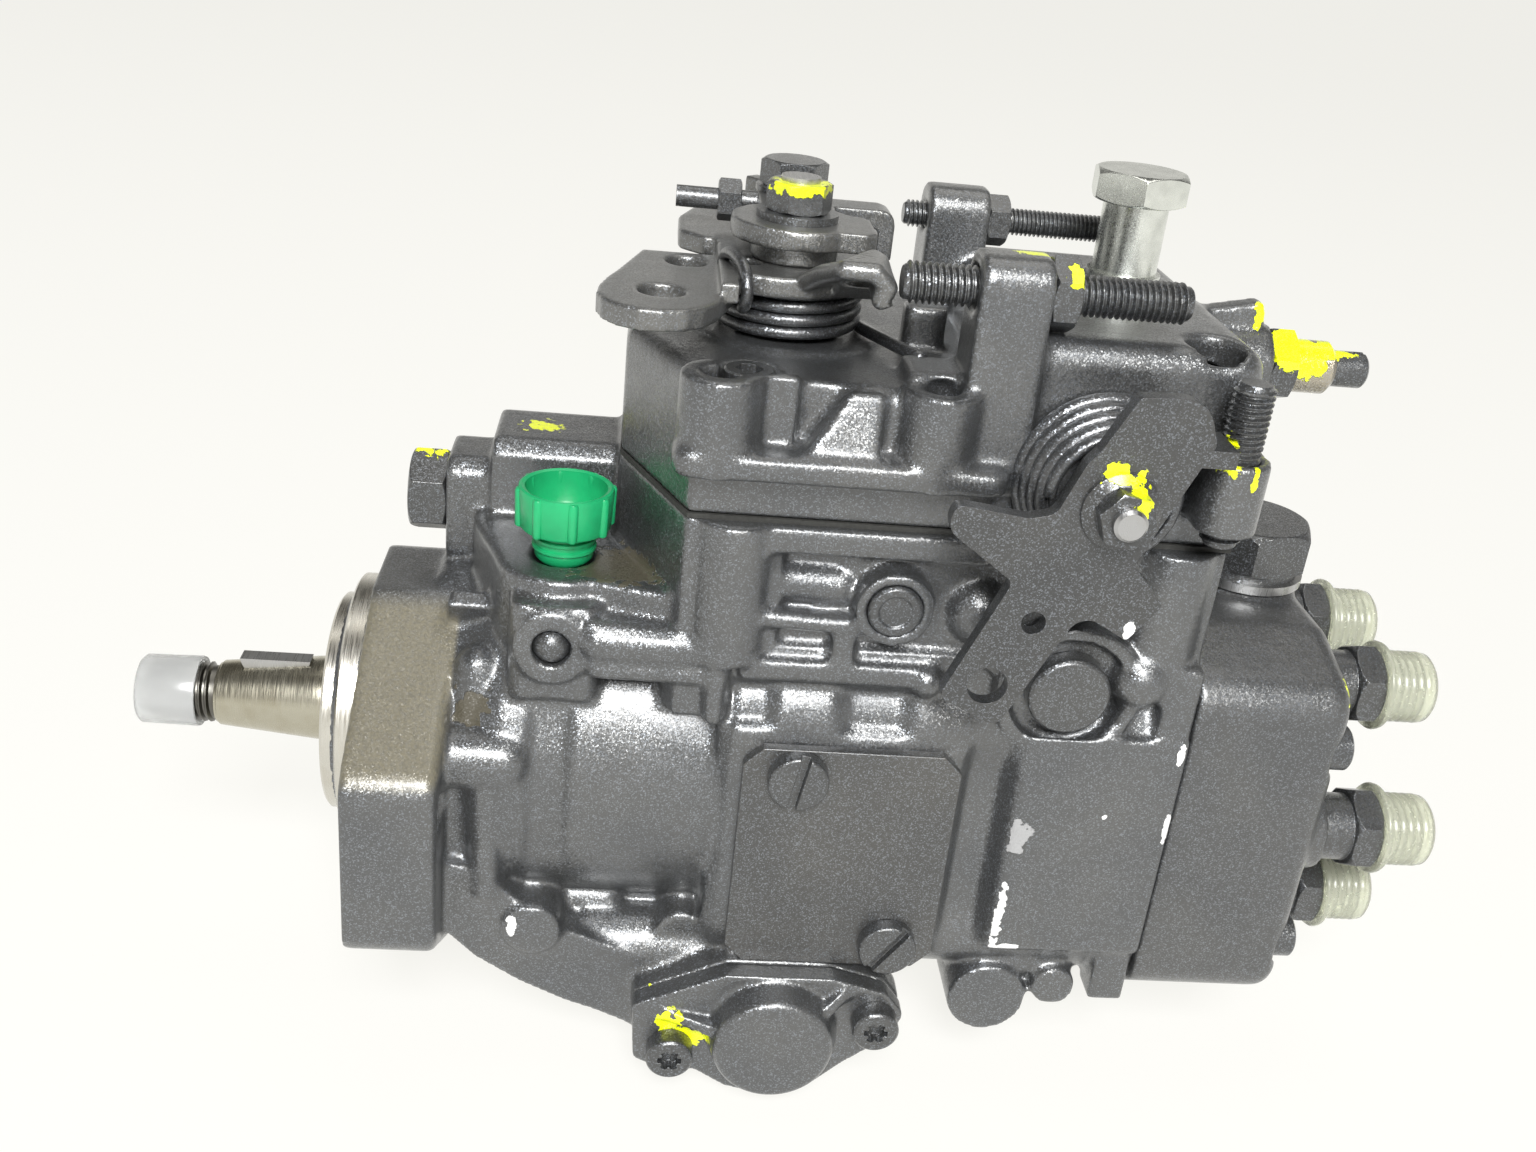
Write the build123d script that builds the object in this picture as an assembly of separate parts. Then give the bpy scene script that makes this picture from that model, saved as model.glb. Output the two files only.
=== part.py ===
"""Axial-piston rotary diesel injection pump with six outlets, as separate pieces."""

import math
import os

from build123d import *

# Millimetres. X runs along the drive shaft from the taper to the outlets, Y across the pump
# and Z up. The origin is the centre of the flange's mounting face, on the shaft's axis.

# Fits
running_gap = 0.03
turning_gap = 0.3
casting_wall = 6.0

# Mounting flange and its round steps
flange_thickness = 19.5
flange_half_width = 53.0
flange_side_top = 11.0
flange_side_bottom = -30.0
flange_top = 35.0
flange_bottom = -46.0
flange_top_half_width = 12.0
flange_bottom_half_width = 28.0
flange_hole_spacing = 89.0
flange_hole_radius = 4.5
flange_nut_pocket_radius = 7.5
flange_nut_pocket_depth = 10.0
pilot_radius = 25.0
pilot_length = 4.0
spigot_radius = 29.7
spigot_length = 5.5

# Housing
barrel_radius = 42.0
keel_half_width = 42.0
cavity_radius = 35.0
cavity_start = 33.0
body_start = 76.0
body_half_width = 44.0
body_top = 38.0
body_bottom = -42.0
body_corner = 16.0
head_joint_x = 175.5
governor_box_front = 52.0
governor_box_half_width = 40.0
governor_box_floor = 8.0
chamber_end = 158.0
cover_joint_z = 69.0
corner_cut_x = 66.0
corner_cut_y = -8.0
far_corner_cut = 6.5
deck_top = 50.0
deck_front = 21.0

# Timing device, across the pump under the cam
timing_x = 93.5
timing_z = -49.5
timing_casing_radius = 19.5
timing_bore_radius = 13.5
timing_half_length = 47.0
timing_tilt = 12.3
timing_screw_circle = 23.0
timing_cover_height = 11.2
timing_cap_radius = 14.4
timing_rib_ends = ((68.0, -44.5), (109.5, -37.0))
timing_piston_length = 52.0
timing_travel = 8.0

# Drive shaft
shaft_radius = 10.0
shaft_seat_radius = 11.0
taper_end_radius = 7.5
taper_start_x = -11.3
taper_end_x = -36.3
thread_radius = 7.0
thread_end_x = -52.5
claw_disc_start = 69.0
claw_disc_end = 76.0
claw_radius = 17.0
claw_width = 8.0
seal_start = -4.0
seal_width = 7.0
seal_radius = 16.0
bush_start = 10.0
bush_length = 20.0
bush_radius = 13.0

# Vane pump
vane_pump_start = 34.0
vane_pump_width = 16.0
pump_rotor_radius = 20.0
pump_bore_radius = 24.5
pump_offset = 2.0
pump_cover_thickness = 3.0
vane_count = 4
vane_thickness = 2.5

# Governor drive gears
gear_module = 1.6
drive_teeth = 40
governor_teeth = 24
gear_start = 60.0
gear_width = 8.0
gear_backlash = 0.12
governor_axis_y = 11.0

# Fuel inlet, plugs, pads and pivots on the casting
inlet_x = 41.5
inlet_y = -19.0
inlet_boss_radius = 14.5
inlet_thread_radius = 6.4
inlet_depth = 12.0
ball_plug_place = (40.6, 37.0)
ball_plug_face_y = -37.0
drain_place = (39.0, -30.5)
round_plug_place = (109.0, 53.0)
rear_pad_start = 139.5
rear_pad_face_y = -45.5
rear_pad_half_height = 29.0
side_pad_face_y = -44.5
side_plate_start = 81.4
side_plate_end = 127.5
side_plate_bottom = -33.5
side_plate_top = 21.5
side_plate_thickness = 2.5
pivot_boss_radius = 15.5
pivot_boss_face_y = -44.5
pivot_recess_radius = 12.5
pivot_recess_depth = 3.5
pivot_bolt_radius = 8.7
pivot_pin_radius = 3.0
pivot_pin_reach = 28.0
governor_block = (24.0, 54.0, -1.0, 24.0)
timing_pin_radius = 3.5

# Governor weights, sleeve, levers and spring
governor_shaft_radius = 6.0
governor_shaft_start = 14.0
governor_shaft_end = 132.0
weight_count = 4
weight_hinge_radius = 15.0
weight_hinge_x = 74.5
weight_toe_radius = 8.0
weight_outer_radius = 18.5
weight_inner_radius = 10.5
weight_end_x = 86.5
weight_half_width = 8.0
sleeve_flange_start = 76.8
sleeve_radius = 9.0
sleeve_end = 140.7
lever_pivot_x = 147.5
lever_pivot_z = 36.5
lever_plate_x = 141.0
lever_plate_thickness = 3.0
ball_pin_z = 12.0
governor_spring_y = 2.0
governor_spring_z = 80.5
governor_spring_start = 97.6
crank_pin_radius = 1.8

# Cam drive, plunger and head
roller_count = 6
roller_radius = 6.5
roller_length = 10.0
roller_mid_radius = 27.0
roller_pin_end = 34.0
roller_axis_x = 97.5
cam_lift = 2.5
cam_disc_end = 113.0
cam_radius = 33.0
plunger_radius = 6.0
plunger_end = 188.0
barrel_sleeve_radius = 13.0
head_end_x = 210.0
head_half_width = 45.0
head_side_top = 39.7
head_side_bottom = -36.5
head_top = 46.0
head_bottom = -49.0
head_corner = 9.0
head_spigot_length = 15.5
outlet_count = 6
outlet_circle_radius = 32.65
outlet_hex = 17.0
outlet_boss_height = 3.5
outlet_thread_radius = 6.5
spring_offset = 24.0
guide_pin_radius = 2.5

# Governor cover, with its bracket and stop lugs
gasket_thickness = 1.0
cover_top = 97.5
column_top = 99.0
dome_start = 124.0
dome_end = 176.0
dome_top = 110.0
bracket_bottom = 79.5
bracket_top = 85.0
bracket_start = 62.0
bracket_end = 127.3
lug_start = 116.5
lug_end = 130.5
lug_top = 124.5
stop_screw_z = 117.5
speed_screw_y = 29.0
bracket_hole_radius = 3.4
bracket_hole_depth = 14.0
left_column_x = 70.5
left_column_radius = 8.0
right_column_x = 112.7
right_column_radius = 7.5
cover_screw_x = (76.0, 166.0)
cover_screw_depth = 8.5

# Throttle lever and its shaft
throttle_x = 85.0
throttle_y = -3.0
throttle_plate_bottom = 108.6
throttle_plate_thickness = 4.2
throttle_arm_drop = 2.6
throttle_drive_bottom = 117.0
throttle_shaft_radius = 6.0
throttle_travel = 45.0
cable_hole_place = (58.8, -25.5)
cable_hole_radius = 4.6
idle_tab_face = 102.5
rear_bolt_x = 86.0
rear_bolt_y = 24.0
throttle_spring_radius = 14.0
throttle_spring_wire = 2.6

# Overflow bolt, full-load screw and the cut-off port on the head
overflow_x = 158.6
overflow_y = 10.0
full_load_y = 2.0
full_load_z = 97.0
full_load_nut_x = 190.5
full_load_radius = 4.0
full_load_nut_length = 6.0
full_load_sleeve_length = 9.5
full_load_end = 8.0
shutoff_x = 197.5
shutoff_thread_radius = 9.0
shutoff_washer = 2.0
centre_plug_thread_radius = 12.0
bleed_screw_radius = 3.0

# Stop lever and its shaft
stop_x = 145.5
stop_z = 83.5
stop_plate_thickness = 3.5
stop_shaft_radius = 5.0
stop_stud_radius = 3.2
stop_nut_length = 6.0
stop_spring_radius = 16.2
stop_spring_wire = 2.5
stop_lever_hole = (-19.0, -38.7)
stop_lever_hole_radius = 4.0
stop_cable_hole = (-12.3, -24.4)
stop_cable_hole_radius = 2.4
limit_screw_x = 169.8
limit_lug_radius = 6.3

# Values that follow from the ones above
shaft_bore_radius = shaft_radius + running_gap
drive_pitch_radius = gear_module * drive_teeth / 2
governor_pitch_radius = gear_module * governor_teeth / 2
gear_centre_distance = drive_pitch_radius + governor_pitch_radius
governor_axis_z = math.sqrt(gear_centre_distance ** 2 - governor_axis_y ** 2)
cover_base_z = cover_joint_z + gasket_thickness
roller_ring_start = timing_x - 6.5
roller_ring_end = roller_axis_x + roller_radius - 3.5
cam_tip_x = roller_axis_x + roller_radius + turning_gap
cam_disc_start = cam_tip_x + cam_lift
throttle_plate_top = throttle_plate_bottom + throttle_plate_thickness
crank_pin_x = throttle_x + 6.2
gear_line_angle = math.degrees(math.atan2(governor_axis_z, governor_axis_y))
timing_rest_angle = math.degrees(math.asin(timing_travel / 2 / -timing_z))
bridge_start = cam_disc_end + 4 + 2.8 + turning_gap
bridge_end = bridge_start + 3.5
full_load_nut_end = full_load_nut_x + full_load_nut_length
full_load_sleeve_end = full_load_nut_end + full_load_sleeve_length
cover_screw_y = governor_box_half_width - 7
bracket_front_y = -governor_box_half_width - 7
idle_screw_y = bracket_front_y + 13
limit_screw_y = bracket_front_y
left_column_y = bracket_front_y + left_column_radius
right_column_y = bracket_front_y + right_column_radius
outlet_face_x = head_end_x + outlet_boss_height
outlet_hex_start = outlet_face_x + 7.1
outlet_hex_end = outlet_hex_start + 6.4
outlet_tip_x = outlet_hex_end + 12.8
stop_plate_start = -governor_box_half_width - 13.5
stop_plate_end = stop_plate_start - stop_plate_thickness


# ---- helpers -------------------------------------------------------------------------------

def rod_x(start, end, radius, y=0.0, z=0.0):
    """Cylinder along X."""
    low = (Align.CENTER, Align.CENTER, Align.MIN)
    return Pos(start, y, z) * Rot(0, 90, 0) * Cylinder(radius, end - start, align=low)


def rod_y(start, end, radius, x, z):
    """Cylinder along Y."""
    low = (Align.CENTER, Align.CENTER, Align.MIN)
    return Pos(x, start, z) * Rot(-90, 0, 0) * Cylinder(radius, end - start, align=low)


def rod_z(start, end, radius, x, y):
    """Cylinder along Z."""
    low = (Align.CENTER, Align.CENTER, Align.MIN)
    return Pos(x, y, start) * Cylinder(radius, end - start, align=low)


def block(x0, x1, y0, y1, z0, z1):
    """Box between two corners."""
    size = Box(x1 - x0, y1 - y0, z1 - z0, align=(Align.MIN, Align.MIN, Align.MIN))
    return Pos(x0, y0, z0) * size


def prism_x(outline, start, end):
    """Extrusion of a (Y, Z) outline along X."""
    plane = Plane(origin=(start, 0, 0), x_dir=(0, 1, 0), z_dir=(1, 0, 0))
    return extrude(plane * make_face(Polyline(*outline, close=True)), end - start)


def prism_y(outline, start, end):
    """Extrusion of an (X, Z) outline along Y."""
    plane = Plane(origin=(0, end, 0), x_dir=(1, 0, 0), z_dir=(0, -1, 0))
    return extrude(plane * make_face(Polyline(*outline, close=True)), end - start)


def prism_z(outline, start, end):
    """Extrusion of an (X, Y) outline along Z."""
    plane = Plane.XY.offset(start)
    return extrude(plane * make_face(Polyline(*outline, close=True)), end - start)


def rounded_face(corners):
    """Flat face from (x, y, corner radius) points."""
    face = make_face(Polyline(*[(x, y) for x, y, _ in corners], close=True))
    for x, y, radius in corners:
        corner = face.vertices().sort_by_distance((x, y, 0))[0]
        face = fillet(corner, radius)
    return face


def turned(profile):
    """Solid of revolution about Z from a closed (radius, height) profile."""
    face = Plane.XZ * make_face(Polyline(*profile, close=True))
    return revolve(face, Axis.Z)


def hexagon(across_flats, height, turn=0.0):
    """Hexagon standing on Z = 0, its corners chamfered at both ends."""
    flats = extrude(RegularPolygon(across_flats / 2, 6, major_radius=False, rotation=turn), height)
    flat, corner, slope = across_flats * 0.49, across_flats * 0.585, across_flats * 0.05
    crown = turned([
        (0, 0), (flat, 0), (corner, slope), (corner, height - slope), (flat, height), (0, height),
    ])
    return flats & crown


def hex_x(start, end, across_flats, y=0.0, z=0.0, turn=0.0):
    """Hexagon along X."""
    return Pos(start, y, z) * Rot(0, 90, 0) * hexagon(across_flats, end - start, turn)


def hex_y(start, end, across_flats, x, z, turn=0.0):
    """Hexagon along Y."""
    return Pos(x, start, z) * Rot(-90, 0, 0) * hexagon(across_flats, end - start, turn)


def hex_z(start, end, across_flats, x, y, turn=0.0):
    """Hexagon along Z."""
    return Pos(x, y, start) * hexagon(across_flats, end - start, turn)


def turned_x(profile):
    """Solid of revolution about the X axis from a closed (x, radius) profile."""
    return Rot(0, 90, 0) * turned([(radius, x) for x, radius in profile])


def on_near_side(part, x, y, z):
    """A part built up +Z, laid to point towards -Y."""
    return Pos(x, y, z) * Rot(90, 0, 0) * part


def on_far_side(part, x, y, z):
    """A part built up +Z, laid to point towards +Y."""
    return Pos(x, y, z) * Rot(-90, 0, 0) * part


def spring(wire_radius, coil_radius, length, turns, sides=8):
    """Helical spring standing on Z = 0, measured between the wire's centres."""
    path = Helix(pitch=length / turns, height=length, radius=coil_radius)
    section = RegularPolygon(wire_radius, sides)
    start = Plane(origin=path @ 0, z_dir=path % 0)
    return sweep(start * section, path=path, is_frenet=True)


def gear(teeth, start, width, bore, phase=0.0):
    """Spur gear about X with involute flanks."""
    pitch_radius = gear_module * teeth / 2
    base_radius = pitch_radius * math.cos(math.radians(20))
    tip_radius = pitch_radius + gear_module
    root_radius = pitch_radius - 1.25 * gear_module
    half_tooth = math.pi / (2 * teeth) - gear_backlash / (2 * pitch_radius)
    involute_at_pitch = math.tan(math.radians(20)) - math.radians(20)
    flank_start = max(base_radius, root_radius)
    flank = []
    for step in range(4):
        radius = flank_start + (tip_radius - flank_start) * step / 3
        pressure = math.acos(min(1.0, base_radius / radius))
        half_angle = half_tooth + involute_at_pitch - (math.tan(pressure) - pressure)
        flank.append((radius, half_angle))
    points = []
    for tooth in range(teeth):
        middle = math.radians(phase) + 2 * math.pi * tooth / teeth
        left = [(radius, middle - angle) for radius, angle in flank]
        right = [(radius, middle + angle) for radius, angle in reversed(flank)]
        foot_angle = flank[0][1]
        loop = [(root_radius, middle - foot_angle)] + left + right + [(root_radius, middle + foot_angle)]
        points += [(radius * math.cos(angle), radius * math.sin(angle)) for radius, angle in loop]
    return prism_x(points, start, start + width) - rod_x(start - 1, start + width + 1, bore)


def rounded_z(part, radius):
    """The part with its upright edges rounded."""
    return fillet(part.edges().filter_by(Axis.Z), radius)


def rounded_x(part, radius):
    """The part with its edges along X rounded."""
    return fillet(part.edges().filter_by(Axis.X), radius)


def group(*parts):
    """Several separate solids that share one node."""
    return Compound(children=[solid for part in parts for solid in part.solids()])


# ---- outlines shared by the housing, gasket and cover --------------------------------------

def governor_outline():
    """Plan outline of the governor box: the near front corner is cut away."""
    width = governor_box_half_width
    return [
        (corner_cut_x, -width), (dome_end, -width), (dome_end, width),
        (governor_box_front + far_corner_cut, width), (governor_box_front, width - far_corner_cut),
        (governor_box_front, corner_cut_y),
    ]


def inner_outline():
    """The governor box's plan outline, moved in by the casting wall."""
    face = make_face(Polyline(*governor_outline(), close=True))
    return offset(face, amount=-casting_wall, kind=Kind.INTERSECTION)


def ring_places(count, radius, first=0.0):
    """(Y, Z) places of evenly spaced features about the shaft, counted from -Y towards +Z."""
    angles = [math.radians(first + 360 * k / count) for k in range(count)]
    return [(-radius * math.cos(a), radius * math.sin(a)) for a in angles]


outlet_places = ring_places(outlet_count, outlet_circle_radius)
cover_screw_places = [(x, y) for x in cover_screw_x for y in (-cover_screw_y, cover_screw_y)]
head_screw_places = [(y, z) for y in (-38.0, 38.0) for z in (24.0, -27.0)]
side_screw_places = [(93.0, 15.0), (117.0, -27.0)]
timing_screw_angles = (timing_tilt, timing_tilt + 180)
timing_screw_places = [
    (timing_x + timing_screw_circle * math.cos(math.radians(angle)),
     timing_z + timing_screw_circle * math.sin(math.radians(angle)))
    for angle in timing_screw_angles
]


# ---- castings ------------------------------------------------------------------------------

flange_outline = [
    (-flange_half_width, flange_side_bottom), (-flange_bottom_half_width, flange_bottom),
    (flange_bottom_half_width, flange_bottom), (flange_half_width, flange_side_bottom),
    (flange_half_width, flange_side_top), (flange_top_half_width, flange_top),
    (-flange_top_half_width, flange_top), (-flange_half_width, flange_side_top),
]
flange_hole_places = [(-flange_hole_spacing / 2, 0.0), (flange_hole_spacing / 2, 0.0)]


def flange():
    """Mounting flange with its spigot, pilot and nut pockets."""
    plate = rounded_x(prism_x(flange_outline, 0, flange_thickness), 7)
    plate = chamfer(plate.faces().sort_by(Axis.X)[-1].edges(), 1.2)
    steps = rod_x(-spigot_length, 1, spigot_radius)
    steps += rod_x(-spigot_length - pilot_length, 0, pilot_radius)
    return plate + chamfer(steps.edges().filter_by(GeomType.CIRCLE).group_by(Axis.X)[0], 0.8)


def barrel():
    """Round front of the casting, swelling into the wider body behind it."""
    return turned_x([
        (flange_thickness - 6, 0), (flange_thickness - 6, 36), (flange_thickness + 2, 37.5),
        (flange_thickness + 7, 40.5), (flange_thickness + 11, barrel_radius), (body_start, barrel_radius),
        (body_start + 12, barrel_radius), (body_start + 12, 0),
    ])


def body():
    """Wide rear body with rounded long edges and the raised rear pads."""
    width = body_half_width
    outline = [(-width, body_bottom), (width, body_bottom), (width, body_top), (-width, body_top)]
    middle = rounded_x(prism_x(outline, body_start, head_joint_x), body_corner)
    middle = chamfer(middle.faces().sort_by(Axis.X)[0].edges(), 3.5)
    pads = Part()
    for side in (-1, 1):
        face = side * -rear_pad_face_y
        half = rear_pad_half_height
        pad = block(rear_pad_start, head_joint_x, min(0, face), max(0, face), -half, half - 2)
        pads += chamfer(pad.edges().filter_by(Axis.Z).group_by(Axis.X)[0], 2)
    return middle + pads


def governor_box():
    """Upper box round the governor, with screw columns and the deck in front of it."""
    box = prism_z(governor_outline(), body_top - 14, cover_joint_z)
    box = fillet(box.edges().filter_by(Axis.Z).group_by(Axis.X)[0], 4)
    rim = prism_z(governor_outline(), cover_joint_z - 6, cover_joint_z)
    sunk = block(corner_cut_x + 20, dome_end - 14, -governor_box_half_width - 1,
                 -governor_box_half_width + 2, body_top + 4, cover_joint_z - 6)
    box = (box - sunk) + rim
    trim = block(head_joint_x, dome_end + 1, -60, 60, 0, 90)
    for x, y in cover_screw_places:
        top = math.copysign(cover_screw_y + 3.5, y)
        low = body_top if y < 0 else body_top - 10
        box += rod_z(low, cover_joint_z, 8.2, min(x, head_joint_x - 8.2), top)
    return box - trim


def deck():
    """Fuel inlet deck, its apron and the block that carries the governor shaft."""
    plan = [(deck_front, -4), (inlet_x - 13, inlet_y - 6), (inlet_x + 8, inlet_y - 13.5),
            (corner_cut_x + 2, -37.5), (corner_cut_x + 4, 30), (deck_front, 30)]
    slab = prism_z(plan, deck_top - 20, deck_top) + rod_z(20, deck_top, inlet_boss_radius, inlet_x, inlet_y)
    rib = block(inlet_x + 6, corner_cut_x + 3, -39, -30, deck_top - 11, deck_top - 6)
    apron = block(inlet_x - 10, inlet_x + 9, ball_plug_face_y, -12, 24, deck_top - 4)
    apron = rounded_z(apron, 4)
    x0, x1, y0, y1 = governor_block
    shaft_block = chamfer(block(x0, x1, y0, y1, 38, 67).edges().filter_by(Axis.X), 3)
    nose = chamfer(block(governor_shaft_start, x0 + 1, y0 + 2, y1 - 3, 36, 61).edges().filter_by(Axis.X), 3)
    return slab + rib + apron + shaft_block + nose


def side_bosses():
    """Bosses for plugs, pivots and mounting screws on the casting's sides."""
    x, z = ball_plug_place
    bosses = rod_y(ball_plug_face_y - 1.5, ball_plug_face_y + 3, 8, x, z)
    for x, z, radius, face_y in (
        (*drain_place, 6.5, -44.0), (143.0, -44.0, 9.0, -44.5), (158.0, -40.0, 5.0, -44.5),
        (*round_plug_place, 8.0, -43.5), (132.0, 44.0, 4.5, -42.5), (72.0, -33.0, 5.5, -39.5),
    ):
        bosses += rod_y(face_y, -20, radius, x, z)
    for side in (-1, 1):
        bosses += rod_y(min(0, side * -pivot_boss_face_y), max(0, side * -pivot_boss_face_y),
                        pivot_boss_radius, lever_pivot_x, lever_pivot_z)
    near_pad = block(side_plate_start + 1, side_plate_end - 1, side_pad_face_y, -30,
                     side_plate_bottom + 1, side_plate_top - 1)
    return bosses + near_pad


def timing_casing():
    """Cross tube of the timing device with the ears its covers screw to."""
    length = timing_half_length
    casing = rod_y(-length, length, timing_casing_radius, timing_x, timing_z)
    web = block(timing_x - 17, timing_x + 17, -length + 7, length - 7, timing_z, -20)
    for side in (-1, 1):
        face, back = sorted((side * length, side * (length - 8)))
        casing += fillet(prism_y(timing_face_outline(), face, back).edges().filter_by(Axis.Y), 2)
    return casing + web


def keel(side):
    """Wall under one side of the barrel, from the flange down to the timing casing."""
    outline = [(flange_thickness - 1, -14), (flange_thickness + 6, -16), (46, -31), (72, -42), (72, -62),
               (64.6, -59), (55.2, -54.4), (46, -51), (36.9, -46.5), (26.8, -39.9),
               (flange_thickness - 1, -31.5)]
    y0, y1 = sorted((side * 31, side * keel_half_width))
    wall = prism_y(outline, y0, y1)
    return wall + rod_x(50, 84, 9, side * 33, -40)


def timing_face_outline():
    """(X, Z) outline of the timing casing's ends: an angular ear in front, a round one behind."""
    return [(62, -43), (82, -34), (106, -34), (118, -37.5), (122.5, -43), (121, -49), (110, -58), (103, -65),
            (93.5, -68), (84, -65.5), (77, -61), (70, -61.5), (63, -58)]


def barrel_ribs():
    """Ribs along the round front of the casting."""
    ribs = Part()
    for angle in (-152.0, -62.0, 28.0):
        rib = block(flange_thickness - 2, body_start + 4, -2.2, 2.2, barrel_radius - 6, barrel_radius + 1.8)
        ribs += Rot(angle, 0, 0) * rib
    return ribs


def pump_housing():
    """Main casting with every bore machined in it."""
    casting = flange() + barrel() + body() + governor_box() + deck() + side_bosses()
    casting += timing_casing() + barrel_ribs() + keel(-1) + keel(1)
    casting -= rod_x(-20, seal_start, seal_radius + 1.5)
    casting -= rod_x(seal_start - 0.01, seal_start + seal_width, seal_radius)
    casting -= rod_x(seal_start, bush_start, bush_radius + 0.5)
    casting -= rod_x(bush_start - 0.01, bush_start + bush_length, bush_radius)
    casting -= rod_x(bush_start, cavity_start + 1, bush_radius - 1)
    casting -= rod_x(cavity_start, head_joint_x + 1, cavity_radius)
    chamber = extrude(Pos(0, 0, governor_box_floor) * inner_outline(), cover_joint_z)
    casting -= chamber & block(0, chamber_end, -60, 60, 0, 100)
    casting -= rod_x(governor_shaft_start - 1, 70, governor_shaft_radius, governor_axis_y, governor_axis_z)
    for y, z in flange_hole_places:
        casting -= rod_x(-1, flange_thickness + 1, flange_hole_radius, y, z)
        pocket_end = flange_thickness + flange_nut_pocket_depth
        casting -= rod_x(flange_thickness, pocket_end, flange_nut_pocket_radius, y, z)
    casting -= rod_y(-60, 60, timing_bore_radius, timing_x, timing_z)
    casting -= block(side_plate_start - 0.3, side_plate_end + 0.3, -60, side_pad_face_y,
                     side_plate_bottom - 0.3, side_plate_top + 0.3)
    pin_slot = timing_pin_radius + 1
    casting -= block(timing_x - pin_slot, timing_x + pin_slot, -10, 10, timing_z, -30)
    casting -= rod_z(deck_top - inlet_depth, deck_top + 1, inlet_thread_radius, inlet_x, inlet_y)
    casting -= rod_z(20, deck_top, 3, inlet_x, inlet_y)
    for x, y in cover_screw_places:
        casting -= rod_z(cover_joint_z - cover_screw_depth - 2, cover_joint_z + 1, 2.6, x, y)
    for side in (-1, 1):
        face = side * -pivot_boss_face_y
        inner = face - side * pivot_recess_depth
        near, far = sorted((face, inner))
        casting -= rod_y(near, far, pivot_recess_radius, lever_pivot_x, lever_pivot_z)
        casting -= rod_y(min(0, inner), max(0, inner), pivot_pin_radius, lever_pivot_x, lever_pivot_z)
    for x, z in side_screw_places:
        casting -= rod_y(side_pad_face_y, side_pad_face_y + 8, 2.6, x, z)
    for x, z in timing_screw_places:
        for start in (-timing_half_length - 1, timing_half_length - 9):
            casting -= rod_y(start, start + 10, 2.6, x, z)
    x, z = ball_plug_place
    casting -= rod_y(ball_plug_face_y - 2, ball_plug_face_y + 6, 4.0, x, z)
    x, z = round_plug_place
    casting -= rod_y(-44, -38, 5.6, x, z)
    for y, z in head_screw_places:
        casting -= rod_x(head_joint_x - 12, head_joint_x + 1, 3.1, y, z)
    return casting


def governor_cover():
    """Upper casting: low front, high rear dome, cast side bracket and stop lugs."""
    front = prism_z(governor_outline(), cover_base_z, cover_top)
    front = fillet(front.edges().filter_by(Axis.Z).group_by(Axis.X)[0], 4)
    front = fillet(front.faces().sort_by(Axis.Z)[-1].edges(), 3)
    width = governor_box_half_width
    dome = rounded_z(block(dome_start, dome_end, -width, width, cover_base_z, dome_top), 7)
    dome = fillet(dome.faces().sort_by(Axis.Z)[-1].edges(), 5)
    pocket = block(left_column_x + 15, right_column_x - 10, bracket_front_y - 1, 3 - width,
                   bracket_top, dome_top)
    solid = front - pocket + dome + cover_bracket() + cover_lugs() + cover_bosses()
    cavity = inner_outline()
    low = extrude(Pos(0, 0, cover_base_z - 1) * cavity, cover_top - cover_base_z - casting_wall + 1)
    high = block(dome_start + casting_wall, dome_end - casting_wall, -width + casting_wall,
                 width - casting_wall, cover_base_z - 1, dome_top - casting_wall)
    posts = Part()
    for x, y in cover_screw_places:
        posts += rod_z(cover_base_z, cover_top - 2, 7.0, x, math.copysign(cover_screw_y + 1.5, y))
    solid = (solid - low - high) + (posts & prism_z(governor_outline(), cover_base_z, cover_top))
    return cover_holes(solid)


def cover_bracket():
    """Cast bracket on the near side: base ledge, two tapped columns and a web."""
    back = -governor_box_half_width + 3
    base = block(bracket_start, bracket_end, bracket_front_y, back, bracket_bottom, bracket_top)
    base = fillet(base.edges().filter_by(Axis.Z).group_by(Axis.Y)[0], 4)
    base = fillet(base.edges().filter_by(Axis.X).group_by(Axis.Y)[0], 1.8)
    left = rod_z(bracket_bottom, column_top, left_column_radius, left_column_x, left_column_y)
    left += block(left_column_x - 4, left_column_x + 8, left_column_y - 3, back, bracket_bottom, column_top)
    left += block(left_column_x, left_column_x + 15, left_column_y - 1, back, bracket_bottom, column_top)
    right = rod_z(bracket_bottom, column_top, right_column_radius, right_column_x, right_column_y)
    right += block(right_column_x - right_column_radius, right_column_x + right_column_radius,
                   right_column_y, back, bracket_bottom, column_top)
    right += block(106, 117.6, back - 1, -25, cover_top - 3, cover_top + 3.5)
    web_left, web_right = left_column_x + 16.5, right_column_x - 11
    slope = [(back, cover_top), (back, bracket_top), (bracket_front_y + 2.5, bracket_top)]
    taper = [(web_left, bracket_top), (web_right, bracket_top), (web_right, cover_top),
             (web_left + 8, cover_top)]
    web = prism_x(slope, web_left, web_right) & prism_y(taper, bracket_front_y, back)
    return base + left + right + web


def cover_lugs():
    """Lugs that carry the two throttle stop screws, and the lug of the stop lever's screw."""
    lugs = Part()
    for y0, y1, foot in ((-42.0, -27.0, bracket_bottom), (22.0, 36.0, cover_top - 10)):
        lug = block(lug_start, lug_end, y0, y1, foot, lug_top)
        lug = fillet(lug.edges().filter_by(Axis.X).group_by(Axis.Z)[-1], 5)
        lugs += lug
    lugs += rod_z(77, 92, limit_lug_radius, limit_screw_x, limit_screw_y)
    lugs += block(limit_screw_x - limit_lug_radius, dome_end, limit_screw_y,
                  4 - governor_box_half_width, 77, 92)
    return lugs


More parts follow.
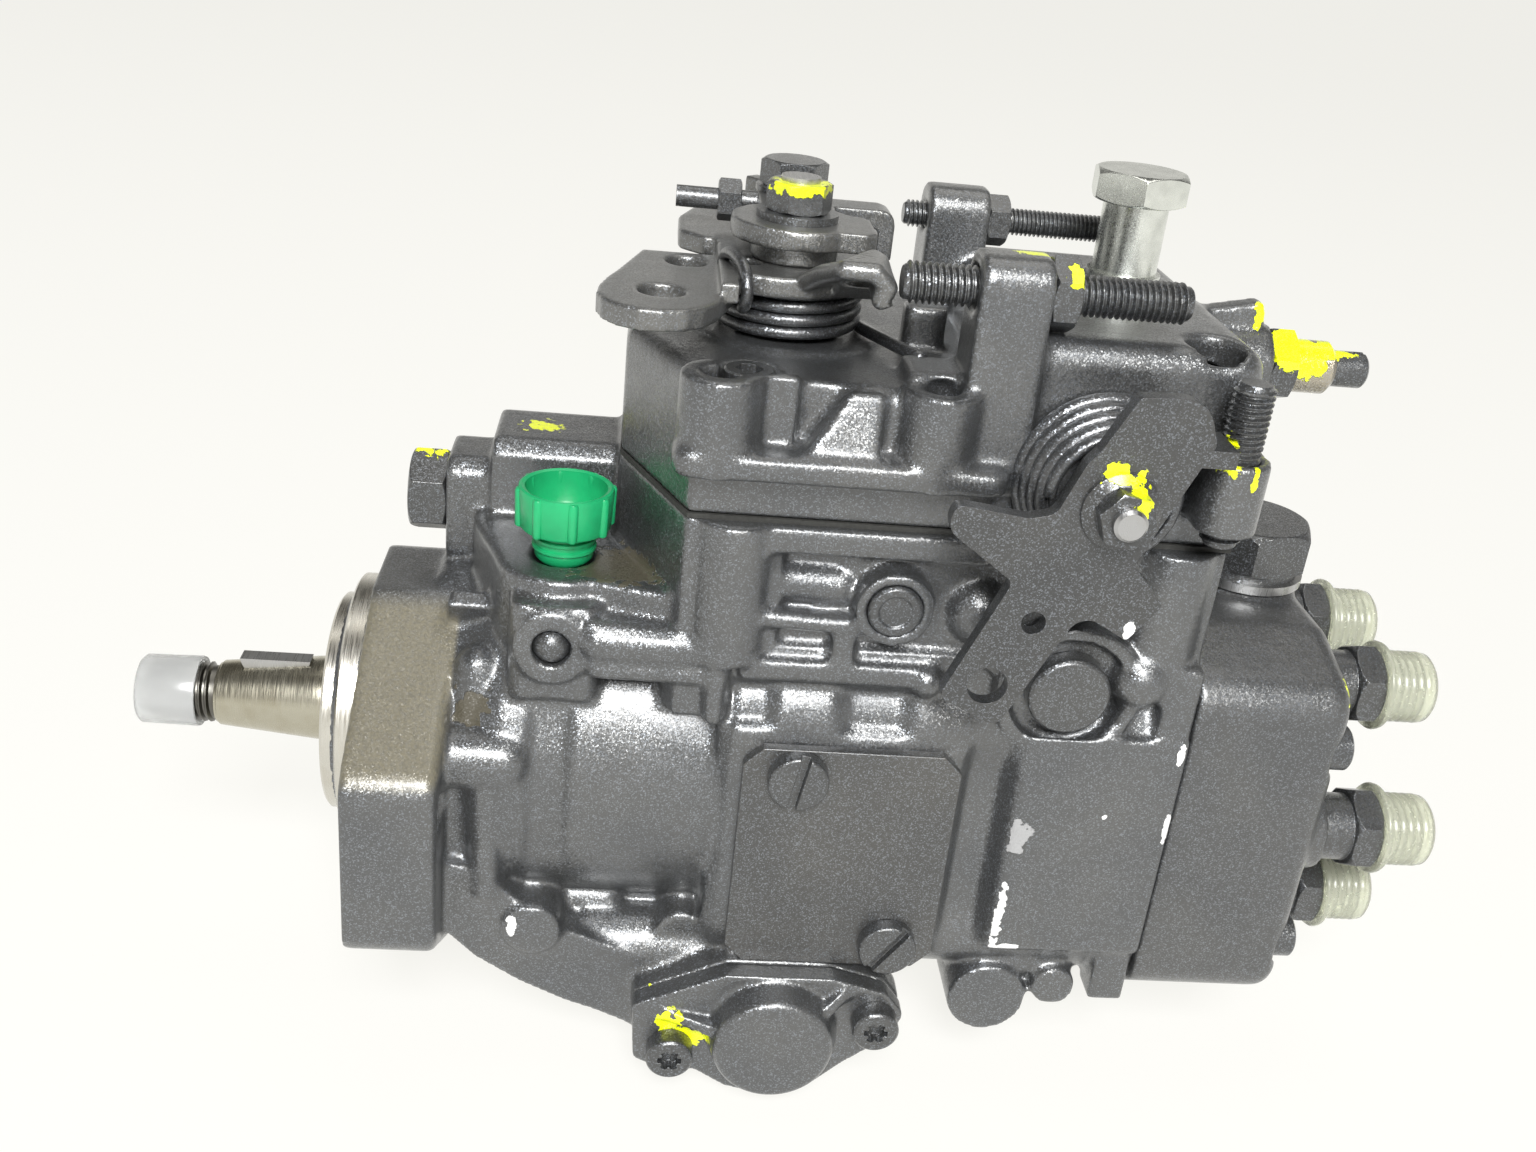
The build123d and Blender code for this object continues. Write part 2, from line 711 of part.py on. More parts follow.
def cover_bosses():
    """Bosses round the shafts, the overflow bolt and the full-load screw."""
    bosses = rod_z(cover_top - 3, throttle_plate_bottom - 1.2, 10.5, throttle_x, throttle_y)
    bosses += rod_z(cover_top - 3, cover_top + 1, 19, throttle_x, throttle_y)
    post = block(108.6, 117.6, -11, -4, cover_top - 2, 106.5)
    bosses += chamfer(post.edges().filter_by(Axis.Z), 1.5)
    bosses += rod_z(dome_top - 3, dome_top + 1.5, 10.5, overflow_x, overflow_y)
    bosses += rod_y(-governor_box_half_width - 9.5, -30, 12.5, stop_x, stop_z)
    bosses += rod_x(dome_end - 3, full_load_nut_x, 8.5, full_load_y, full_load_z)
    gusset = [(dome_end - 3, full_load_z - 4), (full_load_nut_x, full_load_z - 4),
              (full_load_nut_x - 3, full_load_z + 14), (dome_end - 3, full_load_z + 11)]
    bosses += prism_y(gusset, full_load_y - 3, full_load_y + 3)
    return bosses


def cover_holes(solid):
    """The cover with its drilled and bored holes."""
    solid -= rod_z(cover_top - 12, 130, throttle_shaft_radius + running_gap, throttle_x, throttle_y)
    solid -= rod_y(-60, -20, stop_shaft_radius + running_gap, stop_x, stop_z)
    solid -= rod_z(dome_top - 14, dome_top + 3, 6.0, overflow_x, overflow_y)
    solid -= rod_x(dome_end - 14, full_load_nut_x + 1, full_load_radius, full_load_y, full_load_z)
    solid -= rod_x(lug_start - 1, lug_end + 1, 4.0, idle_screw_y, stop_screw_z)
    solid -= rod_x(lug_start - 1, lug_end + 1, 3.0, speed_screw_y, stop_screw_z)
    solid -= rod_z(70, 100, 4.0, limit_screw_x, limit_screw_y)
    for x, y in ((left_column_x, left_column_y), (right_column_x, right_column_y)):
        solid -= rod_z(column_top - bracket_hole_depth, column_top + 1, bracket_hole_radius, x, y)
    for x, y in cover_screw_places:
        top = cover_screw_seat(x)
        solid -= rod_z(60, top + 20, 3.2, x, y)
        solid -= rod_z(top, top + 20, 6.0, x, y)
    return solid


def cover_screw_seat(x):
    """Height of the seat under a cover screw's head."""
    return 92.0 if x < dome_start else 97.0


def cover_gasket():
    """Flat gasket between housing and cover."""
    outer = prism_z(governor_outline(), cover_joint_z, cover_base_z)
    hole = extrude(Pos(0, 0, cover_joint_z - 1) * inner_outline(), 3)
    ring = outer - hole
    for x, y in cover_screw_places:
        ring += rod_z(cover_joint_z, cover_base_z, 6.5, x, y) & outer
        ring -= rod_z(cover_joint_z - 1, cover_base_z + 1, 3.2, x, y)
    return ring


def distributor_head():
    """Cast head with the plunger barrel's bore, the outlet bores and the top plug's port."""
    outline = [
        (-head_half_width, head_side_bottom), (-30, head_bottom), (30, head_bottom),
        (head_half_width, head_side_bottom), (head_half_width, head_side_top),
        (24, head_top), (-24, head_top), (-head_half_width, head_side_top),
    ]
    cast = rounded_x(prism_x(outline, head_joint_x, head_end_x), head_corner)
    cast = fillet(cast.faces().sort_by(Axis.X)[-1].edges(), 4.5)
    for y, z in outlet_places:
        cast += rod_x(head_end_x - 8, outlet_face_x, 9.8, y, z)
    for y, z in head_screw_places:
        cast += rod_x(head_joint_x, head_end_x - 3, 6.8, y, z) & prism_x(outline, head_joint_x, head_end_x)
    cast += rod_z(head_top - 12, head_top + 1.5, 12.5, shutoff_x, 0)
    cast += rod_x(head_joint_x - head_spigot_length, head_joint_x + 1, cavity_radius - running_gap)
    cast -= rod_x(head_joint_x - 20, head_end_x - 12, barrel_sleeve_radius)
    cast -= rod_x(head_end_x - 13, head_end_x + 5, centre_plug_thread_radius)
    cast -= rod_z(head_top - 26, head_top + 3, shutoff_thread_radius, shutoff_x, 0)
    for y, z in outlet_places:
        cast -= rod_x(head_end_x - 14, head_end_x + 5, outlet_thread_radius, y, z)
    for y, z in head_screw_places:
        cast -= rod_x(head_joint_x - 1, head_end_x + 1, 3.1, y, z)
        cast -= rod_x(head_end_x - 3, head_end_x + 1, 6.2, y, z)
    for side in (-1, 1):
        cast -= rod_x(head_joint_x - 20, head_joint_x - 8, guide_pin_radius, side * spring_offset, 0)
    return cast


# ---- covers, plugs and screws on the outside -----------------------------------------------

def socket_screw(head_radius, head_height, shank_radius, shank_length, socket):
    """Cylinder-head screw with a hexagon socket; its head stands on Z = 0."""
    screw = rod_z(0, head_height, head_radius, 0, 0) + rod_z(-shank_length, 0, shank_radius, 0, 0)
    screw = chamfer(screw.edges().filter_by(GeomType.CIRCLE).group_by(Axis.Z)[-1], 0.4)
    return screw - hex_z(head_height * 0.45, head_height + 1, socket, 0, 0)


def slotted_screw(head_radius, head_height, shank_radius, shank_length, slot):
    """Cheese-head screw with a slot; its head stands on Z = 0."""
    screw = rod_z(0, head_height, head_radius, 0, 0) + rod_z(-shank_length, 0, shank_radius, 0, 0)
    screw = chamfer(screw.edges().filter_by(GeomType.CIRCLE).group_by(Axis.Z)[-1], 0.5)
    return screw - block(-head_radius, head_radius, -slot / 2, slot / 2, head_height * 0.5, head_height + 1)


def cover_screws():
    """Four socket-head screws through the governor cover."""
    screws = Part()
    for x, y in cover_screw_places:
        seat = cover_screw_seat(x)
        shank = seat - cover_joint_z + cover_screw_depth
        screws += Pos(x, y, seat) * socket_screw(5.0, 6.0, 2.6, shank, 5.0)
    return screws


def head_screws():
    """Four socket-head screws through the distributor head."""
    screws = Part()
    for y, z in head_screw_places:
        screw = socket_screw(5.0, 6.0, 3.1, head_end_x - 3 - head_joint_x + 10, 5.0)
        screws += Pos(head_end_x - 3, y, z) * Rot(0, 90, 0) * screw
    return screws


def delivery_valve_holders():
    """Hexagonal outlet unions screwed into the head, one for each cylinder."""
    hex_low = outlet_hex_start - outlet_face_x
    hex_high = outlet_hex_end - outlet_face_x
    top = outlet_tip_x - 1.5 - outlet_face_x
    holder = turned([
        (0, -12), (outlet_thread_radius, -12), (outlet_thread_radius, 0), (7.6, 0), (7.6, hex_low + 1),
        (6.9, hex_low + 1), (6.9, top - 1.2), (6.0, top), (3.6, top), (1.5, top - 3.5), (1.5, -10), (0, -10),
    ])
    nut = hex_x(hex_low, hex_high, outlet_hex) & turned_x([
        (hex_low, 0), (hex_low, 8.6), (hex_low + 1.4, 9.9), (hex_high - 1.4, 9.9), (hex_high, 8.6),
        (hex_high, 0),
    ])
    nut -= rod_x(hex_low - 1, hex_high + 1, 5)
    holders = Part()
    for y, z in outlet_places:
        holders += Pos(outlet_face_x, y, z) * (Rot(0, 90, 0) * holder + nut)
    return holders


def delivery_valve_caps():
    """Ribbed transport caps over the outlet unions."""
    length = outlet_tip_x - outlet_hex_end
    cap = turned([
        (6.9, 0), (8.2, 0), (8.2, length - 1), (7.2, length), (0, length), (0, length - 1.2),
        (6.9, length - 1.2),
    ])
    for height in (2.5, 5.5, 8.5):
        cap += turned([(7.5, height - 0.6), (8.2, height - 0.6), (8.5, height), (8.2, height + 0.6),
                       (7.5, height + 0.6)])
    caps = Part()
    for y, z in outlet_places:
        caps += Pos(outlet_hex_end, y, z) * Rot(0, 90, 0) * cap
    return caps


def head_centre_plug():
    """Large hexagon plug closing the plunger bore, with its bleed screw's thread."""
    plug = rod_x(head_end_x - 12, head_end_x, centre_plug_thread_radius)
    plug += rod_x(head_end_x, head_end_x + 1.5, 13.5) + hex_x(head_end_x + 1.5, head_end_x + 8, 24.0)
    return plug - rod_x(head_end_x - 4, head_end_x + 9, bleed_screw_radius)


def bleed_screw():
    """Small hexagon bleed screw in the centre plug."""
    screw = rod_x(head_end_x - 3, head_end_x + 8, bleed_screw_radius)
    return screw + hex_x(head_end_x + 8, head_end_x + 14, 10.0)


def shutoff_port_plug():
    """Hexagon plug closing the fuel cut-off port on the head's top."""
    base = head_top + 1.5 + shutoff_washer
    plug = rod_z(base - 14, base, shutoff_thread_radius, shutoff_x, 0)
    plug += rod_z(base, base + 1.5, 11.8, shutoff_x, 0)
    crown = hex_z(base + 1.5, base + 12, 24.0, shutoff_x, 0, 15)
    dome = Pos(shutoff_x, 0, base) * turned([(0, 0), (14.2, 0), (14.2, 10), (12, 12), (0, 12)])
    return plug + (crown & dome)


def shutoff_port_washer():
    """Bright sealing washer under the cut-off port's plug."""
    base = head_top + 1.5
    washer = rod_z(base, base + shutoff_washer, 13.2, shutoff_x, 0)
    return washer - rod_z(base - 1, base + 5, shutoff_thread_radius, shutoff_x, 0)


def overflow_bolt():
    """Hollow overflow bolt with a wide hexagon head."""
    seat = dome_top + 1.5
    bolt = rod_z(seat - 13, seat, 6.0, overflow_x, overflow_y)
    bolt += rod_z(seat, seat + 1.5, 8.0, overflow_x, overflow_y)
    bolt += rod_z(seat + 1.5, seat + 16.5, 7.0, overflow_x, overflow_y)
    head = hex_z(seat + 16.5, seat + 23, 19.0, overflow_x, overflow_y, 20)
    crown = turned([(0, 0), (11.2, 0), (11.2, 5.4), (9.6, 6.5), (0, 6.5)])
    crown = Pos(overflow_x, overflow_y, seat + 16.5) * crown
    return bolt + (head & crown) - rod_z(seat - 14, seat + 10, 2.5, overflow_x, overflow_y)


def inlet_cap():
    """Moulded screw plug in the fuel inlet: lobed rim over a ribbed neck."""
    neck = rod_z(-9, 1, inlet_thread_radius, 0, 0) + rod_z(1, 4.5, 5.6, 0, 0)
    cup = turned([(0, 4.5), (8.2, 4.5), (9.2, 15.5), (7.9, 15.5), (7.0, 6.5), (0, 6.5)])
    cap = neck + cup
    for k in range(8):
        lobe = rod_z(5.5, 15.5, 1.9, 8.3, 0)
        cap += Rot(0, 0, 45 * k + 10) * (lobe - rod_z(5, 16, 7.4, 0, 0))
    return Pos(inlet_x, inlet_y, deck_top) * cap


def side_cover_plate():
    """Plain plate with clipped corners over the side opening."""
    clip = 4.0
    x0, x1, z0, z1 = side_plate_start, side_plate_end, side_plate_bottom, side_plate_top
    outline = [(x0 + clip, z0), (x1 - clip, z0), (x1, z0 + clip), (x1, z1 - clip), (x1 - clip, z1),
               (x0 + clip, z1), (x0, z1 - clip), (x0, z0 + clip)]
    plate = prism_y(outline, side_pad_face_y - side_plate_thickness, side_pad_face_y)
    for x, z in side_screw_places:
        plate -= rod_y(-60, 0, 2.9, x, z)
    return plate


def side_cover_screws():
    """Two slotted screws that hold the side plate."""
    screws = Part()
    for (x, z), turn in zip(side_screw_places, (80, 55)):
        screw = Rot(0, 0, turn) * slotted_screw(6.4, 3.4, 2.6, 9.5, 2.0)
        screws += on_near_side(screw, x, side_pad_face_y - side_plate_thickness, z)
    return screws


def side_screw_plug():
    """Round threaded plug on the near side."""
    plug = turned([(0, 0), (5.6, 0), (5.6, 5), (5.0, 5.7), (3.6, 5.7), (3.2, 5.2), (0, 5.2)])
    x, z = round_plug_place
    return on_near_side(plug, x, -38.5, z)


def governor_pivot_bolts():
    """Pair of bolts whose inner pins carry the governor lever."""
    bolts = Part()
    inner = -pivot_boss_face_y - pivot_recess_depth
    for side, lay in ((-1, on_near_side), (1, on_far_side)):
        bolt = rod_z(0, 4.5, pivot_bolt_radius, 0, 0)
        bolt = chamfer(bolt.edges().filter_by(GeomType.CIRCLE).group_by(Axis.Z)[-1], 0.8)
        bolt += rod_z(pivot_pin_reach - inner, 0, pivot_pin_radius, 0, 0)
        bolts += lay(bolt, lever_pivot_x, side * inner, lever_pivot_z)
    return bolts


def ball_plug():
    """Steel ball pressed into the end of a drilled passage."""
    x, z = ball_plug_place
    face = ball_plug_face_y - 1.5
    ball = Pos(x, face + 3.2, z) * Sphere(3.99)
    return ball


def timing_cover(side):
    """End cover of the timing device: angular plate, round cap and two ribs to its ears."""
    face = side * timing_half_length
    y0, y1 = sorted((face, face + side * 5))
    cover = fillet(prism_y(timing_face_outline(), y0, y1).edges().filter_by(Axis.Y), 2)
    cap = turned([
        (0, 0), (timing_cap_radius + 1, 0), (timing_cap_radius, 5.5), (timing_cap_radius - 1.2, 10.2),
        (timing_cap_radius - 2.2, timing_cover_height), (0, timing_cover_height),
    ])
    lay = on_near_side if side < 0 else on_far_side
    cover += lay(cap, timing_x, face, timing_z)
    for end_x, end_z in timing_rib_ends:
        reach = math.dist((end_x, end_z), (timing_x, timing_z))
        angle = math.degrees(math.atan2(end_z - timing_z, end_x - timing_x))
        rib = prism_y([(0, 1), (reach, 1), (reach, 5.6), (timing_cap_radius - 2, 9), (0, 9)], -1.4, 1.4)
        cover += lay(Rot(0, 0, -side * angle) * rib, timing_x, face, timing_z)
    for x, z in timing_screw_places:
        cover -= rod_y(-70, 70, 2.9, x, z)
    return cover - lay(rod_z(-1, 3.0, 8.2, 0, 0), timing_x, face, timing_z)


def timing_cover_screws():
    """Four star-socket screws, two for each timing cover."""
    screws = Part()
    screw = rod_z(0, 4.6, 5.2, 0, 0) + rod_z(-13.5, 0, 2.6, 0, 0)
    screw = chamfer(screw.edges().filter_by(GeomType.CIRCLE).group_by(Axis.Z)[-1], 0.6)
    star = rod_z(2.2, 6, 1.9, 0, 0)
    for k in range(3):
        star += Rot(0, 0, 60 * k) * block(-2.6, 2.6, -0.7, 0.7, 2.2, 6)
    screw -= star
    for x, z in timing_screw_places:
        screws += on_near_side(screw, x, -timing_half_length - 5, z)
        screws += on_far_side(screw, x, timing_half_length + 5, z)
    return screws


def full_load_screw():
    """Long adjusting screw with a slotted end."""
    end = full_load_sleeve_end + full_load_end
    screw = rod_x(dome_end - 12, end, full_load_radius - running_gap, full_load_y, full_load_z)
    screw = chamfer(screw.edges().filter_by(GeomType.CIRCLE).group_by(Axis.X)[-1], 0.6)
    return screw - block(end - 3, end + 1, full_load_y - 0.7, full_load_y + 0.7, 90, 105)


def full_load_nut():
    """Lock nut of the full-load screw."""
    nut = hex_x(full_load_nut_x, full_load_nut_end, 14.5, full_load_y, full_load_z, 10)
    return nut - rod_x(180, 220, full_load_radius, full_load_y, full_load_z)


def full_load_sleeve():
    """Sleeve between the lock nut and the screw's end."""
    sleeve = rod_x(full_load_nut_end, full_load_sleeve_end, 5.8, full_load_y, full_load_z)
    sleeve = chamfer(sleeve.edges().filter_by(GeomType.CIRCLE).group_by(Axis.X)[-1], 1.2)
    return sleeve - rod_x(180, 220, full_load_radius, full_load_y, full_load_z)


def stop_screw(start, end, radius, y):
    """Throttle stop screw with a domed tip towards the lever and a socketed tail."""
    screw = rod_x(start, end, radius, y, stop_screw_z)
    screw = fillet(screw.edges().filter_by(GeomType.CIRCLE).group_by(Axis.X)[0], radius * 0.3)
    return screw - rod_z(100, 130, 1.2, end - 3.5, y)


def idle_stop_screw():
    """Near screw that stops the throttle lever at idle."""
    return stop_screw(idle_tab_face + turning_gap, 158.5, 4.0, idle_screw_y)


def max_speed_screw():
    """Far screw that stops the throttle lever at full speed."""
    return stop_screw(111.8, 158.0, 3.0, speed_screw_y)


def stop_screw_nuts():
    """Lock nuts of the two throttle stop screws."""
    near = hex_x(lug_end, lug_end + 5.5, 13.0, idle_screw_y, stop_screw_z)
    near -= rod_x(lug_end - 1, lug_end + 10, 4.0, idle_screw_y, stop_screw_z)
    far = hex_x(lug_end, lug_end + 5, 10.0, speed_screw_y, stop_screw_z)
    far -= rod_x(lug_end - 1, lug_end + 10, 3.0, speed_screw_y, stop_screw_z)
    return near + far


def stop_limit_screw():
    """Upright screw beside the stop lever's upper end."""
    return rod_z(74, 107, 4.0, limit_screw_x, limit_screw_y)


def shaft_thread_cap():
    """Clear transport cap over the drive shaft's thread."""
    start = thread_end_x + 11.5
    cap = turned_x([(start, 7.2), (start, 8.0), (thread_end_x - 1, 8.0), (thread_end_x - 2, 7.0),
                    (thread_end_x - 2, 0), (thread_end_x - 0.8, 0), (thread_end_x - 0.8, 7.2)])
    return cap


# ---- drive shaft, vane pump and gears ------------------------------------------------------

def drive_shaft():
    """Shaft with thread, taper, journal, gear seat and a two-jaw claw at its inner end."""
    seat_start = vane_pump_start + vane_pump_width + pump_cover_thickness + 2
    shaft = turned_x([
        (thread_end_x, 0), (thread_end_x, thread_radius - 1), (thread_end_x + 1, thread_radius),
        (taper_end_x, thread_radius), (taper_end_x, taper_end_radius), (taper_start_x, shaft_radius),
        (seat_start, shaft_radius), (seat_start, shaft_seat_radius), (claw_disc_start, shaft_seat_radius),
        (claw_disc_start, claw_radius), (claw_disc_end, claw_radius), (claw_disc_end, 0),
    ])
    return shaft + claw_jaws(claw_disc_end, claw_disc_end + 7) - woodruff_disc()


def claw_jaws(start, end):
    """Pair of driving jaws on opposite sides of the shaft axis, along Y."""
    jaws = Part()
    for side in (-1, 1):
        jaws += block(start, end, min(side * 8, side * 16), max(side * 8, side * 16),
                      -claw_width / 2, claw_width / 2)
    return jaws


def woodruff_disc():
    """Half-round key seated in the taper."""
    x = (taper_start_x + taper_end_x) / 2
    surface = (shaft_radius + taper_end_radius) / 2
    disc = rod_y(-2, 2, 8, x, surface + 3)
    return disc - block(x - 10, x + 10, -3, 3, surface + 1.5, surface + 20)


def shaft_oil_seal():
    """Lip seal between housing and shaft."""
    seal = rod_x(seal_start, seal_start + seal_width, seal_radius)
    return seal - rod_x(seal_start - 1, seal_start + seal_width + 1, shaft_bore_radius)


def shaft_bush():
    """Plain bearing bush of the drive shaft."""
    bush = rod_x(bush_start, bush_start + bush_length, bush_radius)
    return bush - rod_x(bush_start - 1, bush_start + bush_length + 1, shaft_bore_radius)


def vane_pump_ring():
    """Eccentric ring of the vane supply pump."""
    end = vane_pump_start + vane_pump_width
    ring = rod_x(vane_pump_start, end, cavity_radius - running_gap)
    return ring - rod_x(vane_pump_start - 1, end + 1, pump_bore_radius, 0, pump_offset)


def vane_pump_cover():
    """Port plate behind the vane pump, with two kidney ports."""
    start = vane_pump_start + vane_pump_width
    end = start + pump_cover_thickness
    plate = rod_x(start, end, cavity_radius - running_gap)
    plate -= rod_x(start - 1, end + 1, shaft_radius + 0.5)
    for angle in (0, 180):
        for step in (-30, -15, 0, 15, 30):
            port = rod_x(start - 1, end + 1, 1.8, 21.5, 0)
            plate -= Rot(angle + step, 0, 0) * port
    return plate


def pump_rotor():
    """Slotted rotor of the vane pump."""
    end = vane_pump_start + vane_pump_width - turning_gap
    rotor = rod_x(vane_pump_start + turning_gap, end, pump_rotor_radius)
    rotor -= rod_x(vane_pump_start, end + 1, shaft_radius)
    for k in range(vane_count):
        slot = block(vane_pump_start, end + 1, -vane_thickness / 2, vane_thickness / 2, 13, 25)
        rotor -= Rot(45 + 360 * k / vane_count, 0, 0) * slot
    return rotor


def pump_vanes():
    """Vanes in the rotor's slots, pushed in by the ring's nearest side."""
    tip = pump_bore_radius - pump_offset - 0.7
    vanes = Part()
    for k in range(vane_count):
        vane = block(vane_pump_start + turning_gap, vane_pump_start + vane_pump_width - turning_gap,
                     -vane_thickness / 2, vane_thickness / 2, 14, tip)
        vanes += Rot(45 + 360 * k / vane_count, 0, 0) * vane
    return vanes


def drive_gear():
    """Gear on the drive shaft that turns the governor."""
    return gear(drive_teeth, gear_start, gear_width, shaft_seat_radius, gear_line_angle)


def cross_disc():
    """Disc with four slots between the shaft's jaws and the cam plate's jaws."""
    start = claw_disc_end + turning_gap
    disc = rod_x(start, start + 6.8, claw_radius - 1)
    for side in (0, 90, 180, 270):
        slot = block(start - 1, start + 8, 7.8, 20, -claw_width / 2 - 0.1, claw_width / 2 + 0.1)
        disc -= Rot(side, 0, 0) * slot
    return disc - rod_x(start - 1, start + 8, 4)


# ---- governor ------------------------------------------------------------------------------

def at_governor(part, turn=0.0):
    """Moves a part built about the X axis onto the governor's axis."""
    return Pos(0, governor_axis_y, governor_axis_z) * Rot(turn, 0, 0) * part


def governor_shaft():
    """Fixed shaft that the governor turns on."""
    return at_governor(rod_x(governor_shaft_start - 6, governor_shaft_end, governor_shaft_radius))


def governor_shaft_nut():
    """Hexagon cap nut on the governor shaft's outer end."""
    start = governor_shaft_start - 8.5
    nut = hex_x(start, governor_shaft_start, 17.0)
    crown = turned_x([(start, 0), (start, 8.6), (start + 1.2, 9.9), (governor_shaft_start, 9.9),
                      (governor_shaft_start, 0)])
    return at_governor((nut & crown) - rod_x(governor_shaft_start - 6, 20, governor_shaft_radius))


def governor_carrier():
    """Governor gear with the lugs that the weights hinge in."""
    teeth_end = gear_width + 0.4
    phase = gear_line_angle + 180 + 180 / governor_teeth
    bore = governor_shaft_radius + running_gap
    wheel = gear(governor_teeth, gear_start, teeth_end, bore, phase)
    disc_start = gear_start + teeth_end
    carrier = rod_x(disc_start, disc_start + 2.6, 20.3) + rod_x(disc_start, disc_start + 4, 7.8)
    for k in range(weight_count):
        for side in (-1, 1):
            y0, y1 = sorted((side * (weight_half_width + 0.6), side * (weight_half_width + 3)))
            lug = block(disc_start + 2, weight_hinge_x + 2.7, y0, y1, weight_hinge_radius - 2.8,
                        weight_hinge_radius + 2.8)
            lug -= rod_y(-20, 20, 1.5 + running_gap, weight_hinge_x, weight_hinge_radius)
            carrier += Rot(360 * k / weight_count, 0, 0) * lug
    carrier -= rod_x(gear_start, 80, bore)
    return at_governor(carrier) + Pos(0, governor_axis_y, governor_axis_z) * wheel


def flyweight(k):
    """One centrifugal weight with its hinge pin and the toe that pushes the sleeve."""
    start = weight_hinge_x - 1
    half = weight_half_width
    mass = block(start, weight_end_x, -half, half, weight_inner_radius, weight_outer_radius)
    mass &= rod_x(0, 120, weight_outer_radius)
    toe = block(start, weight_hinge_x + 2, -3, 3, weight_toe_radius, weight_inner_radius + 1)
    pin = rod_y(-half - 3, half + 3, 1.5, weight_hinge_x, weight_hinge_radius)
    return at_governor(mass + toe + pin, 360 * k / weight_count)


def governor_sleeve():
    """Sliding sleeve that carries the weights' push to the lever."""
    bore = governor_shaft_radius + running_gap
    start = sleeve_flange_start
    sleeve = turned_x([
        (start, bore), (start, 9.6), (start + 2.5, 9.6), (start + 2.5, sleeve_radius),
        (sleeve_end - 5, sleeve_radius), (sleeve_end - 1.5, 5), (sleeve_end, 1.5), (sleeve_end, 0),
        (sleeve_end - 5, 0), (sleeve_end - 5, bore),
    ])
    return at_governor(sleeve)


def governor_lever():
    """Lever between the sleeve, the governor spring and the control sleeve's ball pin."""
    front = lever_plate_x
    back = front + lever_plate_thickness
    outline = [(-33, 38), (33, 38), (33, 45), (20, 52), (14, 86), (-10, 86), (-14, 52), (-33, 45)]
    lever = prism_x(outline, front, back)
    for side in (-1, 1):
        y0, y1 = sorted((side * (pivot_pin_reach + 0.4), side * 33))
        lever += block(front, lever_pivot_x + 5, y0, y1, lever_pivot_z - 5, 45)
    lever += block(front, lever_pivot_x + 3, -3, 3, lever_pivot_z - 6, 44)
    lever += rod_z(ball_pin_z, lever_pivot_z, 1.7, lever_pivot_x, 0)
    lever += Pos(lever_pivot_x, 0, ball_pin_z) * Sphere(2.4)
    lever -= rod_y(-40, 40, pivot_pin_radius + running_gap, lever_pivot_x, lever_pivot_z)
    lever -= rod_x(front - 1, back + 1, 1.8, governor_spring_y, governor_spring_z)
    return lever


def governor_spring():
    """Tension spring from the throttle shaft's crank pin to the governor lever."""
    y, z = governor_spring_y, governor_spring_z
    end = lever_plate_x - 3
    place = Pos(governor_spring_start, y, z) * Rot(0, 90, 0)
    coil = place * spring(0.9, 4.4, end - governor_spring_start, 6, 6)
    front = rod_x(crank_pin_x + crank_pin_radius, governor_spring_start - 1.0, 1.0, y, z)
    front += rod_x(governor_spring_start - 2.2, governor_spring_start - 0.95, 4.9, y, z)
    rear = rod_x(end + 0.95, end + 2.2, 4.9, y, z)
    rear += rod_x(end + 2.2, lever_plate_x + lever_plate_thickness + 2.5, 1.5, y, z)
    rear += rod_x(lever_plate_x + lever_plate_thickness + 0.3, lever_plate_x + 5.5, 3.0, y, z)
    return group(coil, front, rear)


def control_sleeve():
    """Spill collar on the plunger, moved by the lever's ball pin."""
    sleeve = rod_x(lever_pivot_x - 6.5, lever_pivot_x + 6.5, 14)
    sleeve -= rod_x(lever_pivot_x - 10, lever_pivot_x + 10, plunger_radius + running_gap)
    return sleeve - rod_z(8.2, 20, 2.9, lever_pivot_x, 0)


# ---- cam drive, plunger and springs --------------------------------------------------------

def roller_ring():
    """Ring that carries the rollers and the timing pin."""
    ring = turned_x([(roller_ring_start, 19), (roller_ring_start, cavity_radius - 0.05),
                     (roller_ring_end, cavity_radius - 0.05), (roller_ring_end, 19)])
    for k in range(roller_count):
        notch = block(roller_axis_x - roller_radius - 0.5, roller_ring_end + 1, -roller_radius - 0.5,
                      roller_radius + 0.5, roller_mid_radius - roller_length / 2 - 0.5,
                      roller_mid_radius + roller_length / 2 + 0.5)
        pin_hole = rod_z(17, 40, 2.0, roller_axis_x, 0)
        ring -= Rot(360 * k / roller_count, 0, 0) * (notch + pin_hole)
    ring += rod_z(timing_z - 3.5, -roller_pin_end - 0.2, timing_pin_radius, timing_x, 0)
    return timing_turn(ring)


def timing_turn(part):
    """Turns the roller ring to where the timing piston holds it at rest."""
    return Rot(-timing_rest_angle, 0, 0) * part


def cam_rollers():
    """Rollers that the cam plate's face runs on."""
    rollers = Part()
    low = roller_mid_radius - roller_length / 2
    for k in range(roller_count):
        roller = rod_z(low, low + roller_length, roller_radius, roller_axis_x, 0)
        roller -= rod_z(0, 40, 2.0 + running_gap, roller_axis_x, 0)
        rollers += Rot(360 * k / roller_count, 0, 0) * roller
    return timing_turn(rollers)


def roller_pins():
    """Radial pins of the cam rollers."""
    pins = Part()
    for k in range(roller_count):
        pins += Rot(360 * k / roller_count, 0, 0) * rod_z(19.5, roller_pin_end, 2.0, roller_axis_x, 0)
    return timing_turn(pins)


